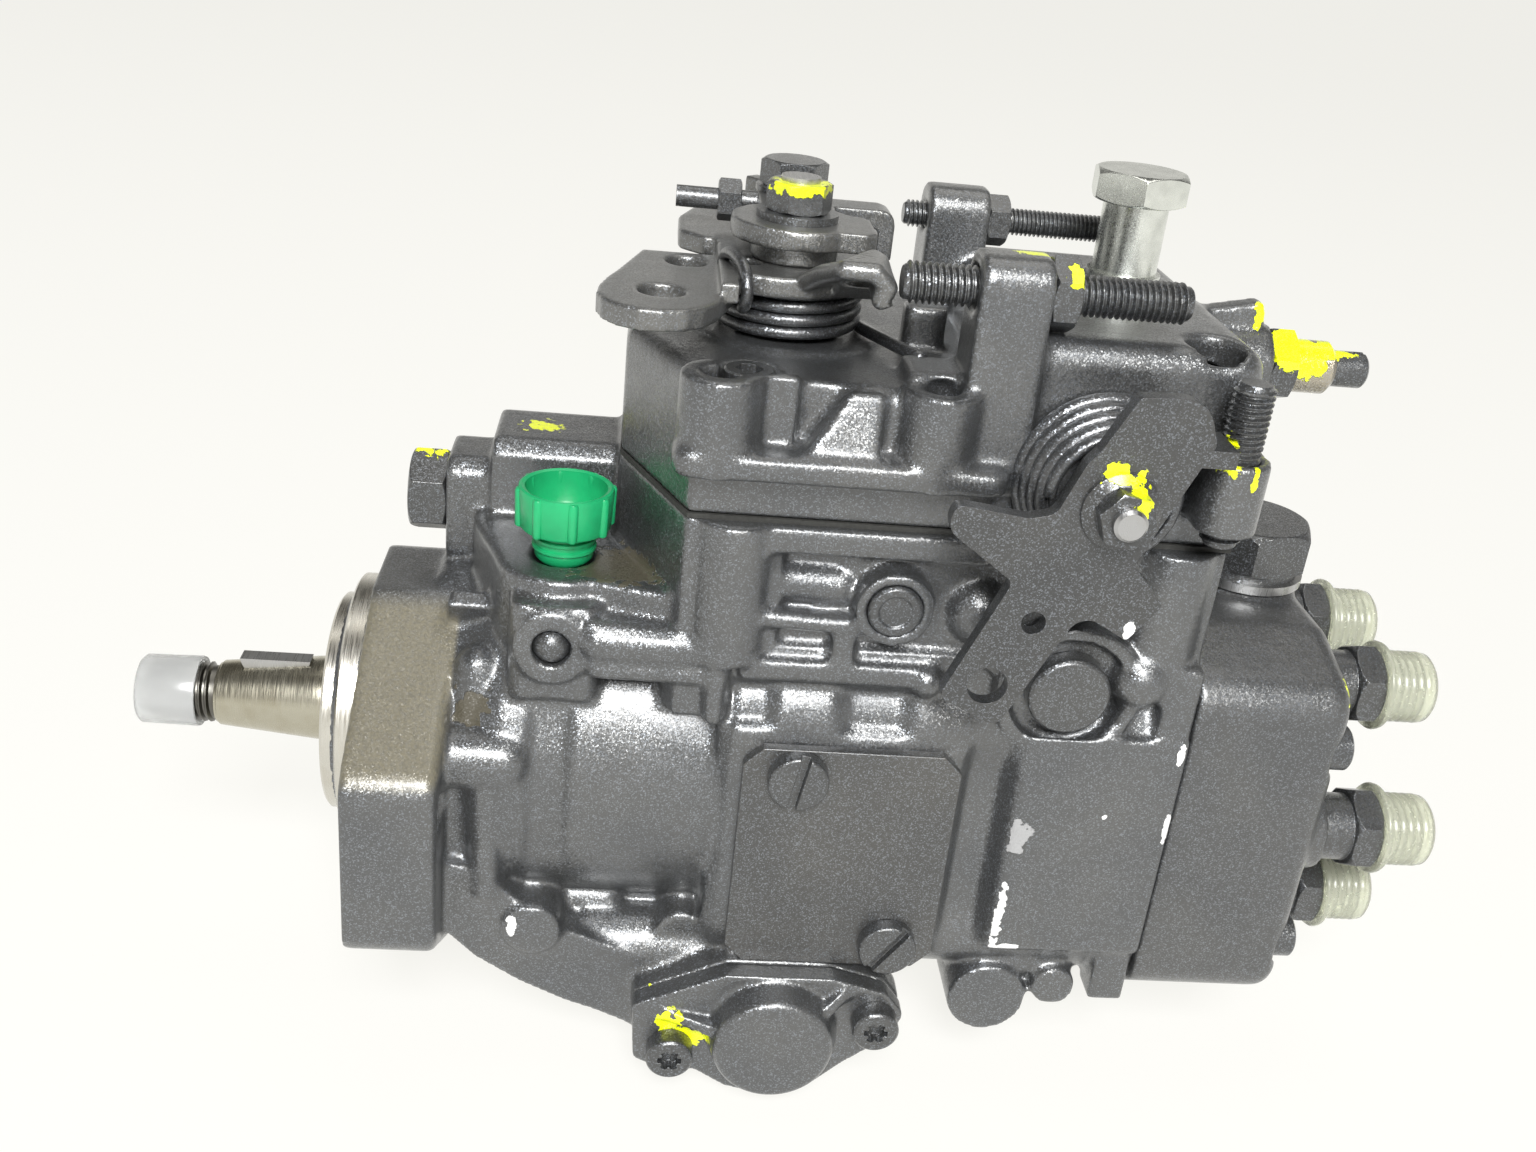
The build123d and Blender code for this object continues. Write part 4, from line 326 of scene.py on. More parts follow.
def soft(name, colour, roughness):
    """Rubber or gasket fibre."""
    material = finish(name, colour, 0.0, roughness)
    fine = noise(material, 0.8, 4.0)
    deep = shaded(colour, (0.6, 0.6, 0.6))
    cloud = spread(material, fine, 0.3, 0.7, 0.0, 1.0)
    onto(material, "Base Color", blend_colour(material, cloud, deep, colour))
    onto(material, "Normal", bump(material, fine, 0.05))
    return material


# ---- shapes --------------------------------------------------------------------------------

# Edges sharper than this, in degrees, are broken; the round section of a wire has this many sides.
SHARP_EDGE = 28
WIRE_SIDES = 10
# Share of a hollow's reach over which its edge fades out.
HOLLOW_EDGE = 0.5


def joined(*parts):
    """Several shapes as one mesh."""
    whole = bmesh.new()
    for part in parts:
        mesh = bpy.data.meshes.new("part")
        part.to_mesh(mesh)
        part.free()
        whole.from_mesh(mesh)
        bpy.data.meshes.remove(mesh)
    return whole


def turned(profile, steps):
    """A turned shape about X from (place, radius) points that start and end on the axis or meet."""
    shape = bmesh.new()
    line = [shape.verts.new((place, radius, 0)) for place, radius in profile]
    edges = [shape.edges.new(pair) for pair in zip(line, line[1:])]
    bmesh.ops.spin(shape, geom=line + edges, cent=(0, 0, 0), axis=(1, 0, 0), angle=2 * math.pi,
                   steps=steps, use_merge=True, use_duplicate=False)
    bmesh.ops.remove_doubles(shape, verts=shape.verts, dist=0.001)
    bmesh.ops.recalc_face_normals(shape, faces=shape.faces)
    return shape


def winding(section, centre_radius, turns, pitch, steps):
    """A section of (place, out) points wound about X, with `steps` to a turn and closed ends."""
    shape = bmesh.new()
    loop = [shape.verts.new((place, centre_radius + out, 0)) for place, out in section]
    face = shape.faces.new(loop)
    count = max(2, round(steps * turns))
    bmesh.ops.spin(shape, geom=[face], cent=(0, 0, 0), axis=(1, 0, 0), angle=2 * math.pi * turns,
                   dvec=(pitch * turns / count, 0, 0), steps=count, use_duplicate=False,
                   use_merge=False)
    open_edges = [edge for edge in shape.edges if edge.is_boundary]
    bmesh.ops.holes_fill(shape, edges=open_edges)
    bmesh.ops.recalc_face_normals(shape, faces=shape.faces)
    return shape


def thread(start, end, radius, pitch):
    """A threaded rod about X between two places, its ends chamfered."""
    depth = pitch * 0.55
    root = radius - depth
    rod = turned([(start, 0), (start, root - 0.35), (start + 0.45, root), (end - 0.45, root),
                  (end, root - 0.35), (end, 0)], 32)
    ridge = [(-pitch * 0.44, -0.15), (-pitch * 0.08, depth), (pitch * 0.08, depth),
             (pitch * 0.44, -0.15)]
    turns = (end - start - pitch * 1.5) / pitch
    coil = winding(ridge, root, turns, pitch, 20)
    bmesh.ops.translate(coil, vec=(start + pitch * 0.75, 0, 0), verts=coil.verts)
    return joined(rod, coil)


def along(shape, axis, x, y, z):
    """Lays a shape built about X along an axis, with its zero at a place."""
    turn = {"X": Matrix.Identity(3), "Y": Matrix.Rotation(math.pi / 2, 3, "Z"),
            "Z": Matrix.Rotation(-math.pi / 2, 3, "Y")}[axis]
    bmesh.ops.rotate(shape, cent=(0, 0, 0), matrix=turn, verts=shape.verts)
    bmesh.ops.translate(shape, vec=(x, y, z), verts=shape.verts)
    return shape


def leaning(shape, tip, foot):
    """The shape tipped up about its X axis by an angle in degrees, and set on its foot."""
    bmesh.ops.rotate(shape, cent=(0, 0, 0), matrix=Matrix.Rotation(math.radians(tip), 3, "X"),
                     verts=shape.verts)
    bmesh.ops.translate(shape, vec=foot, verts=shape.verts)
    return shape


def solid_of(node):
    """A merged working copy of a piece of the frame, in millimetres."""
    shape = bmesh.new()
    shape.from_mesh(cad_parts[node].data)
    bmesh.ops.scale(shape, vec=(PER_METRE, PER_METRE, PER_METRE), verts=shape.verts)
    bmesh.ops.remove_doubles(shape, verts=shape.verts, dist=0.003)
    return shape


def cut_off(shape, place, keep_above):
    """The part of a solid on one side of a plane across X, closed where it was cut."""
    bmesh.ops.bisect_plane(shape, geom=shape.verts[:] + shape.edges[:] + shape.faces[:],
                           dist=0.0005, plane_co=(place, 0, 0), plane_no=(1, 0, 0),
                           clear_outer=not keep_above, clear_inner=keep_above)
    open_edges = [edge for edge in shape.edges if edge.is_boundary]
    bmesh.ops.holes_fill(shape, edges=open_edges)
    bmesh.ops.recalc_face_normals(shape, faces=shape.faces)
    return shape


def softened(shape, width):
    """The shape with its sharp edges broken."""
    bmesh.ops.dissolve_limit(shape, angle_limit=math.radians(0.8), verts=shape.verts,
                             edges=shape.edges)
    corners = [edge for edge in shape.edges
               if edge.is_manifold and edge.calc_face_angle(0) > math.radians(SHARP_EDGE)]
    bmesh.ops.bevel(shape, geom=corners, offset=width, offset_type="OFFSET", segments=2,
                    profile=0.5, affect="EDGES", material=-1, clamp_overlap=True)
    return shape


def round_section(radius):
    """Points round a wire, as (place, out)."""
    angles = [2 * math.pi * k / WIRE_SIDES for k in range(WIRE_SIDES)]
    return [(radius * math.cos(angle), radius * math.sin(angle)) for angle in angles]


def wire(route, radius):
    """A bent wire whose centre line runs smoothly past hand-set points."""
    curve = bpy.data.curves.new("wire", "CURVE")
    curve.dimensions = "3D"
    curve.bevel_depth = radius
    curve.bevel_resolution = 3
    curve.use_fill_caps = True
    line = curve.splines.new("NURBS")
    line.points.add(len(route) - 1)
    for point, place in zip(line.points, route):
        point.co = (*place, 1)
    line.order_u = 3
    line.use_endpoint_u = True
    line.resolution_u = 8
    holder = bpy.data.objects.new("wire", curve)
    shape = shown_form(holder)
    bmesh.ops.remove_doubles(shape, verts=shape.verts, dist=0.001)
    bmesh.ops.recalc_face_normals(shape, faces=shape.faces)
    return shape


def shown_form(holder):
    """The mesh that a working object shows; the object itself goes."""
    bpy.context.scene.collection.objects.link(holder)
    bpy.context.view_layer.update()
    shown = holder.evaluated_get(bpy.context.evaluated_depsgraph_get())
    mesh = bpy.data.meshes.new_from_object(shown)
    bpy.data.objects.remove(holder)
    shape = bmesh.new()
    shape.from_mesh(mesh)
    bpy.data.meshes.remove(mesh)
    return shape


def worked(shape, kind, **settings):
    """The shape after one of the modelling modifiers."""
    mesh = bpy.data.meshes.new("form")
    shape.to_mesh(mesh)
    shape.free()
    form = bpy.data.objects.new("form", mesh)
    step = form.modifiers.new(kind.lower(), kind)
    for setting, value in settings.items():
        setattr(step, setting, value)
    return shown_form(form)


def carved(shape, *tools):
    """The shape with other shapes cut out of it."""
    mesh = bpy.data.meshes.new("tools")
    cutter = joined(*tools)
    cutter.to_mesh(mesh)
    cutter.free()
    holder = bpy.data.objects.new("tools", mesh)
    bpy.context.scene.collection.objects.link(holder)
    shape = worked(shape, "BOOLEAN", object=holder, operation="DIFFERENCE", solver="EXACT")
    bpy.data.objects.remove(holder)
    return shape


def bar(start, end, radius):
    """Round bar with ball ends."""
    shape = bmesh.new()
    bmesh.ops.create_uvsphere(shape, u_segments=24, v_segments=13, radius=radius)
    run = Vector(end) - Vector(start)
    upper = [point for point in shape.verts if point.co.z > 0]
    bmesh.ops.translate(shape, vec=(0, 0, run.length), verts=upper)
    bmesh.ops.rotate(shape, cent=(0, 0, 0), matrix=run.to_track_quat("Z", "Y").to_matrix(),
                     verts=shape.verts)
    bmesh.ops.translate(shape, vec=start, verts=shape.verts)
    return shape


def block(low, high):
    """Square block between two corners."""
    shape = bmesh.new()
    bmesh.ops.create_cube(shape, size=1.0)
    bmesh.ops.scale(shape, vec=[b - a for a, b in zip(low, high)], verts=shape.verts)
    bmesh.ops.translate(shape, vec=[(a + b) / 2 for a, b in zip(low, high)], verts=shape.verts)
    return shape


def slab(outline, low, high):
    """Flat plate with the given (x, y) outline between two heights."""
    shape = bmesh.new()
    base = shape.faces.new([shape.verts.new((x, y, low)) for x, y in outline])
    top = bmesh.ops.extrude_face_region(shape, geom=[base], use_keep_orig=True)["geom"]
    bmesh.ops.translate(shape, vec=(0, 0, high - low),
                        verts=[part for part in top if isinstance(part, bmesh.types.BMVert)])
    bmesh.ops.recalc_face_normals(shape, faces=shape.faces)
    return shape


def drill(x, y, z, radius):
    """Upright cutter for a hole."""
    return along(turned([(-9, 0), (-9, radius), (9, radius), (9, 0)], 40), "Z", x, y, z)


def press(shape, centre, reach, push):
    """Push the skin by some millimetres near a place, less towards the edge of its reach."""
    for point in shape.verts:
        share = 1.0
        for value, middle, far in zip(point.co, centre, reach):
            left = 1 - abs(value - middle) / far
            if left <= 0:
                share = 0.0
                break
            level = min(1.0, left / HOLLOW_EDGE)
            share *= level * level * (3 - 2 * level)
        if share:
            point.co += share * Vector(push)


# ---- pieces --------------------------------------------------------------------------------

def piece(name, shape, material, body, stands_for=(), sharp=None):
    """A finished piece: its mesh in place, its surface, and the body that carries it."""
    bmesh.ops.scale(shape, vec=(MM, MM, MM), verts=shape.verts)
    for face in shape.faces:
        face.smooth = True
    mesh = bpy.data.meshes.new(name)
    shape.to_mesh(mesh)
    shape.free()
    if sharp is not None:
        mesh.set_sharp_from_angle(angle=math.radians(sharp))
    made = bpy.data.objects.new(name, mesh)
    bpy.context.scene.collection.objects.link(made)
    made.data.materials.append(material)
    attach(made, body)
    if stands_for:
        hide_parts(*stands_for)
    return made


def machined_piece(name, shape, material, body, stands_for=()):
    """A piece with flats: its shading follows the large faces."""
    made = piece(name, shape, material, body, stands_for, sharp=40)
    shade = made.modifiers.new("flats", "WEIGHTED_NORMAL")
    shade.keep_sharp = True
    shade.weight = 80


def eased_piece(name, node, width, material, body):
    """A piece of the frame with its sharp edges broken, under its new surface."""
    machined_piece(name, softened(solid_of(node), width), material, body, (node,))


def casting(name, node, material, body, skin=0.85, passes=5, keep=0.4, forms=(),
            hollows=(), solid=None):
    """The frame's solid and smaller cast forms under one skin with softly rounded edges.

    `skin` is the size of the skin's cells, `passes` rounds its edges, and `keep` is the share of
    its faces that stay.
    """
    solid = solid or solid_of(node)
    shape = worked(joined(solid, *forms), "REMESH", mode="VOXEL", voxel_size=skin, adaptivity=0.0)
    for centre, reach, push in hollows:
        press(shape, centre, reach, push)
    shape = worked(shape, "SMOOTH", factor=0.5, iterations=passes)
    shape = worked(shape, "DECIMATE", ratio=keep)
    piece(name, shape, material, body, (node,))


# ---- castings ------------------------------------------------------------------------------

housing_paint = paint("housing_paint", tinted_rim=True, marks=(
    (YELLOW, (34.5, 11.0, 69.0), (5.0, 4.0, 3.0)),
    (YELLOW, (65.9, -50.5, -41.8), (0.6, 4.0, 2.2)),
    (CHIP, (34.8, -43.5, -29.5), (1.1, 2.0, 2.6)),
    (CHIP, (174.0, -45.5, 24.0), (0.9, 1.6, 2.6)),
    (CHIP, (174.6, -45.5, 5.5), (0.9, 1.6, 3.4)),
    (CHIP, (160.5, -45.5, 7.9), (0.8, 1.0, 0.8)),
    (CHIP, (141.6, -45.5, -19.5), (1.1, 1.5, 7.5)),
    (CHIP, (144.5, -45.5, -28.3), (3.2, 1.5, 0.9)),
    (BARE, (142.6, -45.5, 1.5), (2.6, 1.0, 4.4)),
    (DIRT, (54.0, -24.0, 50.5), (11.0, 9.0, 1.6)),
    (DIRT, (25.0, -32.0, 19.0), (4.0, 5.0, 5.0)),
))
cover_paint = paint("cover_paint", marks=(
    (YELLOW, (127.5, -30.0, 124.3), (4.5, 4.5, 2.5)),
    (YELLOW, (165.5, -51.0, 92.3), (3.4, 3.0, 2.2)),
    (YELLOW, (171.5, -52.5, 90.2), (0.7, 2.0, 2.6)),
    (YELLOW, (187.0, -1.5, 109.5), (1.5, 2.5, 4.0)),
))
head_paint = paint("head_paint", colour=(0.10, 0.102, 0.103), cast=1.5, gloss=0.44, marks=(
    (YELLOW, (209.5, -38.5, 38.5), (2.0, 3.2, 3.6)),
))
timing_paint = paint("timing_paint", cast=0.8, marks=(
    (YELLOW, (70.3, -54.0, -47.0), (3.3, 7.0, 3.6)),
    (YELLOW, (75.2, -54.5, -50.8), (4.4, 7.0, 2.7)),
))

# Cast forms on the body: bell boss and bars by the flange, ribs, deck edges, bosses and pads on
# the near side, then the plainer ones of the far side.
body_forms = (
    bar((21.0, -36.5, 9.5), (31.5, -36.8, 9.5), 6.8),
    bar((24.0, -31.5, 13.0), (25.0, -27.5, 26.0), 5.0),
    bar((27.5, -38.2, 6.0), (28.5, -39.6, -22.0), 3.7),
    block((20.0, -38.8, -21.0), (33.0, -30.0, 4.0)),
    bar((43.0, -30.5, -30.5), (55.0, -30.5, -30.5), 3.4),
    bar((50.0, -38.0, 33.2), (73.0, -40.5, 34.4), 2.2),
    bar((50.0, -36.8, 39.0), (73.0, -38.6, 39.8), 4.3),
    bar((74.5, -41.0, 38.0), (74.8, -41.2, 26.0), 2.7),
    bar((83.0, -40.6, 48.6), (103.0, -40.6, 47.8), 2.1),
    bar((84.0, -35.5, 55.4), (98.0, -35.5, 54.6), 4.6),
    block((79.0, -42.4, 34.6), (119.0, -38.0, 39.4)),
    block((97.5, -42.2, 36.0), (102.0, -37.0, 50.0)),
    block((79.5, -42.3, 63.2), (127.0, -38.0, 69.0)),
    bar((118.2, -38.0, 36.2), (118.2, -40.8, 36.2), 3.6),
    bar((127.5, -33.0, 51.5), (127.5, -35.6, 51.5), 7.6),
    bar((162.6, -39.0, 40.0), (162.6, -40.8, 40.0), 6.6),
    block((168.0, -44.8, 26.0), (175.3, -36.0, 44.0)),
    block((166.5, -44.6, -43.0), (174.5, -36.0, -30.0)),
    bar((146.0, -38.0, -37.0), (153.0, -38.0, -35.5), 4.5),
    bar((43.0, 30.5, -30.5), (55.0, 30.5, -30.5), 3.4),
    bar((21.0, 36.5, 9.5), (31.5, 36.8, 9.5), 6.8),
    block((79.5, 37.0, 63.2), (127.0, 42.3, 69.0)),
    block((79.0, 37.0, 34.6), (119.0, 42.2, 39.4)),
    block((97.5, 37.0, 36.0), (102.0, 42.0, 66.0)),
)
# Hollows pressed into its skin, as (centre, reach, push). The first is the channel between the
# side plate and the rear pad.
body_hollows = (
    ((134.0, -44.5, -4.0), (6.4, 8.0, 33.0), (0, 4.6, 0)),
    ((41.0, -41.0, 4.0), (5.5, 8.0, 24.0), (0, 1.6, 0)),
    ((82.0, -42.0, 29.0), (6.5, 6.0, 5.5), (0, 2.2, -0.6)),
    ((108.5, -43.0, 28.5), (9.5, 6.0, 5.8), (0, 2.4, -0.6)),
    ((154.0, -44.0, 33.0), (7.0, 6.0, 4.0), (0, 2.6, 0)),
    ((92.0, -38.0, 61.0), (9.0, 4.0, 3.0), (0, 1.6, 0)),
)
casting("pump_casting", "pump_housing", housing_paint, "housing", keep=0.25,
        forms=body_forms, hollows=body_hollows)
web_outline = [(87.0, 0), (101.7, 0), (101.7, 12.9), (94.9, 12.9)]
bracket_web = leaning(slab(web_outline, -4.5, 0.0), 71, (0, -44.7, 85.0))
casting("governor_cover_casting", "governor_cover", cover_paint, "housing",
        keep=0.35, forms=(bracket_web,))
casting("distributor_head_casting", "distributor_head", head_paint, "housing",
        keep=0.3)
casting("timing_cover_castings", "timing_covers", timing_paint, "housing",
        skin=0.55, passes=3, keep=0.6)

bright_steel = machined("bright_steel", (0.66, 0.64, 0.58), 0.26)
spigot = turned([(-9.6, 19.0), (-9.6, 24.4), (-9.0, 25.08), (-5.6, 25.08), (-5.6, 29.2),
                 (-5.1, 29.8), (-0.1, 29.8), (-0.1, 19.0), (-9.6, 19.0)], 96)
machined_piece("flange_spigot", spigot, bright_steel, "housing")

# ---- screws, plugs, levers -----------------------------------------------------------------

screw_paint = paint("screw_paint", colour=SCREW_CHARCOAL, cast=0.1)
nut_paint = paint("nut_paint", colour=SCREW_CHARCOAL, cast=0.1, marks=(
    (YELLOW, (9.5, 9.0, 61.5), (6.0, 5.5, 2.6)),
    (YELLOW, (134.5, -37.0, 121.3), (2.2, 5.0, 2.4)),
    (YELLOW, (165.2, -50.0, 94.2), (2.6, 3.5, 3.4)),
    (YELLOW, (193.5, -3.0, 102.5), (4.5, 8.5, 5.5)),
    (YELLOW, (206.0, -2.0, 101.6), (6.0, 5.0, 1.6)),
    (YELLOW, (85.0, -5.5, 128.0), (7.0, 5.0, 1.8)),
    (YELLOW, (84.0, -5.0, 129.3), (3.0, 3.0, 1.6)),
))
lever_paint = paint("lever_paint", colour=(0.072, 0.073, 0.073), cast=0.2, gloss=0.42, marks=(
    (YELLOW, (143.8, -57.0, 90.6), (3.0, 2.5, 2.4)),
    (YELLOW, (147.6, -59.0, 87.0), (2.0, 5.0, 4.2)),
    (CHIP, (152.4, -57.0, 58.3), (1.2, 2.0, 2.2)),
))
throttle_paint = paint("throttle_paint", colour=(0.150, 0.151, 0.147), cast=0.25, gloss=0.40)
plate_paint = paint("plate_paint", colour=(0.090, 0.090, 0.088), cast=0.3, gloss=0.45)

for node, width in (("socket_screws", 0.2), ("side_cover_screws", 0.25), ("side_plugs", 0.2),
                    ("timing_cover_screws", 0.2), ("governor_pivot_bolts", 0.3),
                    ("head_centre_plug", 0.3), ("delivery_valve_holders", 0.25),
                    ("shutoff_port_plug", 0.35)):
    eased_piece(node + "_painted", node, width, screw_paint, "housing")
eased_piece("lock_nuts_painted", "lock_nuts", 0.3, nut_paint, "housing")
eased_piece("side_plate_painted", "side_cover_plate", 0.35, plate_paint, "housing")

# Throttle lever: the cable arm and hub plate replace the frame's square ones, and the idle tab
# curls up between its two edges.
arm_outline = [(73, 5), (54, 5), (51.5, -5), (49.5, -12.9), (47.4, -20), (46.1, -26.5),
               (46.0, -31), (47.2, -35.4), (50, -39), (54, -41), (58.5, -41.3), (63, -39.8),
               (66.6, -36.6), (69.2, -31.6), (71, -25), (73, -17)]
cable_arm = carved(slab(arm_outline, 106.0, 110.2), drill(58.3, -26.8, 108, 4.6),
                   drill(63.2, -2.5, 108, 4.2))
lever_plate = carved(solid_of("throttle_lever"), block((40, -45, 100), (69.5, 9, 113)),
                     block((84, -40, 112.85), (108, -8, 125)))
hub_outline = [(72, -17), (75, -19.6), (79, -20.9), (83.5, -20.9), (88, -20), (91.7, -18),
               (95.1, -15), (99, -10), (102, -4), (102, 8), (85, 10), (72, 8)]
hub_plate = carved(slab(hub_outline, 108.6, 112.8), drill(75.3, -8.5, 110, 3.1))
left_edge = [(85.5, -17, 110.9), (88.8, -26, 115.6), (91.8, -34.8, 118.8), (97.6, -35.4, 118.9),
             (100.2, -35.4, 116.2), (99.2, -35.4, 113.8)]
right_edge = [(99, -6, 110.7), (99, -15, 114.8), (98.5, -23, 118.6), (99.6, -25.4, 118.4),
              (100.6, -25.4, 116.0), (99.8, -25.4, 113.8)]
idle_tab = []
for share in (0.0, 0.14, 0.28, 0.42, 0.57, 0.71, 0.85, 1.0):
    line = [Vector(left).lerp(Vector(right), share)
            for left, right in zip(left_edge, right_edge)]
    idle_tab += [bar(start, end, 1.9) for start, end in zip(line, line[1:])]
casting("throttle_lever_pressed", "throttle_lever", throttle_paint, "throttle_lever",
        skin=0.5, passes=6, keep=0.6, forms=(cable_arm, hub_plate, *idle_tab),
        solid=lever_plate)
casting("throttle_drive_pressed", "throttle_drive_plate", throttle_paint, "throttle_lever",
        skin=0.5, passes=8, keep=0.6)

zinc = plated("zinc_plate", (0.82, 0.84, 0.79))
for name, node, width, material, body, slot in (
        ("throttle_fasteners_painted", "throttle_fasteners", 0.3, nut_paint, "throttle_lever",
         "fastener_paint"),
        ("stop_lever_painted", "stop_lever", 0.5, lever_paint, "stop_lever", "lever_steel"),
        ("stop_lever_nut_painted", "stop_lever_nut", 0.3, lever_paint, "stop_lever",
         "fastener_paint"),
        ("full_load_screw_painted", "full_load_screw", 0.25, nut_paint, "housing",
         "fastener_paint"),
        ("overflow_bolt_plated", "overflow_bolt", 0.3, zinc, "housing", "zinc_plate")):
    eased_piece(name, node, width, material, body)

# The governor shaft is ground inside the pump and ends in a painted cap nut outside.
CAP_NUT_END = 14.2
inner_steel = machined("inner_steel", (0.50, 0.50, 0.50), 0.3)
cap_nut = softened(cut_off(solid_of("governor_shaft"), CAP_NUT_END, False), 0.35)
machined_piece("governor_cap_nut", cap_nut, nut_paint, "housing",
               ("governor_shaft",))
machined_piece("governor_shaft_ground", cut_off(solid_of("governor_shaft"), CAP_NUT_END, True),
               inner_steel, "housing", ("governor_shaft",))

# ---- threads and drive shaft ---------------------------------------------------------------

stop_threads = joined(
    along(thread(102.8, 158.5, 4.0, 1.25), "X", 0, -34.0, 117.5),
    along(thread(111.8, 158.0, 3.0, 1.0), "X", 0, 29.0, 117.5),
    along(thread(74.0, 107.0, 4.0, 1.25), "Z", 169.8, -47.0, 0),
)
piece("stop_screw_threads", stop_threads, nut_paint, "housing",
      ("stop_screws",), sharp=50)
ground_steel = machined("ground_steel", (0.50, 0.475, 0.385), 0.24, lines=0.18, tarnish=0.35)
shaft = softened(cut_off(solid_of("drive_shaft"), -37.0, True), 0.2)
machined_piece("drive_shaft_ground", shaft, ground_steel, "drive_shaft",
               ("drive_shaft",))
dark_steel = machined("dark_steel", (0.16, 0.155, 0.14), 0.34, lines=0.3, tarnish=0.3)
piece("drive_shaft_thread", thread(-52.5, -36.6, 7.0, 1.5), dark_steel, "drive_shaft",
      ("drive_shaft",), sharp=50)

# ---- springs -------------------------------------------------------------------------------

STOP_SHAFT_X, STOP_SHAFT_Z = 145.5, 83.5
# The stop spring's turns narrow from here towards its lever, by this much.
NARROW_FROM, NARROW_RUN, NARROW_BY = -41.0, 11.0, 4.6

spring_paint = paint("spring_paint", colour=(0.075, 0.077, 0.08), cast=0.05, gloss=0.3)
throttle_coil = leaning(winding(round_section(1.3), 14.0, 3.5, 2.66, 36), 65, (0, 0, 0))
throttle_coil = along(throttle_coil, "Z", 85.0, -3.0, 99.95)
throttle_tail = wire([(99.9, -2.0, 99.9), (99.0, -3.5, 99.9), (104.0, -14.0, 100.2),
                      (110.3, -26.5, 100.4)], 1.3)
piece("throttle_spring_coils", joined(throttle_coil, throttle_tail), spring_paint, "housing",
      ("throttle_spring",))
throttle_hook = wire([(71.0, -5.5, 107.6), (70.4, -6.5, 111.5), (70.8, -9.0, 114.4),
                      (72.6, -15.0, 115.2), (74.2, -20.6, 114.2), (75.0, -23.4, 110.8),
                      (74.6, -22.6, 107.0), (74.4, -18.0, 105.4), (75.8, -13.6, 105.6)], 1.25)
piece("throttle_spring_hook", throttle_hook, spring_paint, "throttle_lever",
      ("throttle_spring",))
stop_coil = along(winding(round_section(1.15), 17.0, 4.6, 2.42, 36), "Y", STOP_SHAFT_X, -52.1,
                  STOP_SHAFT_Z)
for point in stop_coil.verts:
    away = Vector((point.co.x - STOP_SHAFT_X, 0, point.co.z - STOP_SHAFT_Z))
    inward = NARROW_BY * min(1.0, max(0.0, (NARROW_FROM - point.co.y) / NARROW_RUN))
    point.co -= inward * away.normalized()
piece("stop_spring_coils", stop_coil, spring_paint, "housing", ("stop_spring",))

# ---- plastic caps --------------------------------------------------------------------------

OUTLETS = 6
OUTLET_CIRCLE = 32.65
low_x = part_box("delivery_valve_caps")[0][0] * PER_METRE
high_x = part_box("delivery_valve_caps")[1][0] * PER_METRE


def on_each_outlet(make, start):
    """A shape built about X, once on the axis of each outlet."""
    angles = [math.radians(60 * k) for k in range(OUTLETS)]
    return joined(*[along(make(), "X", start, OUTLET_CIRCLE * math.cos(angle),
                          OUTLET_CIRCLE * math.sin(angle)) for angle in angles])


def outlet_cap():
    """Thin cup with a collar and the soft rings that its thread leaves."""
    profile = [(low_x, 7.4), (low_x, 10.0), (low_x + 0.5, 10.3), (low_x + 1.3, 10.1),
               (low_x + 1.7, 8.4)]
    for k in range(5):
        ring = low_x + 2.4 + 1.75 * k
        profile += [(ring, 7.9), (ring + 0.55, 8.25), (ring + 1.1, 8.25)]
    profile += [(high_x - 0.9, 8.0), (high_x - 0.2, 7.2), (high_x, 6.2), (high_x, 0),
                (high_x - 1.0, 0), (high_x - 1.0, 6.4), (high_x - 2.0, 7.1), (low_x + 2.0, 7.1),
                (low_x, 7.4)]
    return turned(profile, 48)


def outlet_thread():
    """The ridge of an outlet's thread."""
    return winding([(-0.6, -0.2), (-0.12, 0.5), (0.12, 0.5), (0.6, -0.2)], 6.4, 6.5, 1.5, 20)


pale = plastic("pale_plastic", (0.90, 0.92, 0.76), 0.22, 0.72, 0.95)
piece("outlet_caps", on_each_outlet(outlet_cap, 0), pale, "housing",
      ("delivery_valve_caps",), sharp=60)
stud_steel = machined("stud_steel", (0.62, 0.62, 0.40), 0.35)
piece("outlet_threads", on_each_outlet(outlet_thread, 228.0), stud_steel, "housing",
      sharp=50)

green = plastic("green_plastic", (0.012, 0.36, 0.13), 0.33)
cup = turned([(49.0, 0), (49.0, 5.4), (50.0, 6.2), (51.6, 6.2), (51.9, 6.8), (52.5, 6.8),
              (52.8, 6.2), (53.6, 6.2), (53.9, 6.8), (54.5, 6.8), (54.8, 6.2), (55.6, 6.2),
              (56.4, 9.2), (56.9, 9.6), (64.6, 10.0), (65.3, 9.8), (65.5, 9.3), (65.2, 8.6),
              (58.6, 8.2), (57.6, 7.4), (57.6, 0)], 64)
ribs = []
for k in range(8):
    rib = turned([(56.6, 0), (56.6, 0.8), (57.0, 1.05), (64.6, 1.15), (65.1, 0.9), (65.2, 0)], 12)
    angle = math.radians(45 * k + 12)
    bmesh.ops.translate(rib, vec=(0, 9.5 * math.cos(angle), 9.5 * math.sin(angle)),
                        verts=rib.verts)
    ribs.append(rib)
cap = along(joined(cup, *ribs), "Z", 41.5, -19.0, 0)
piece("inlet_cap_moulded", cap, green, "housing", ("inlet_cap",), sharp=45)

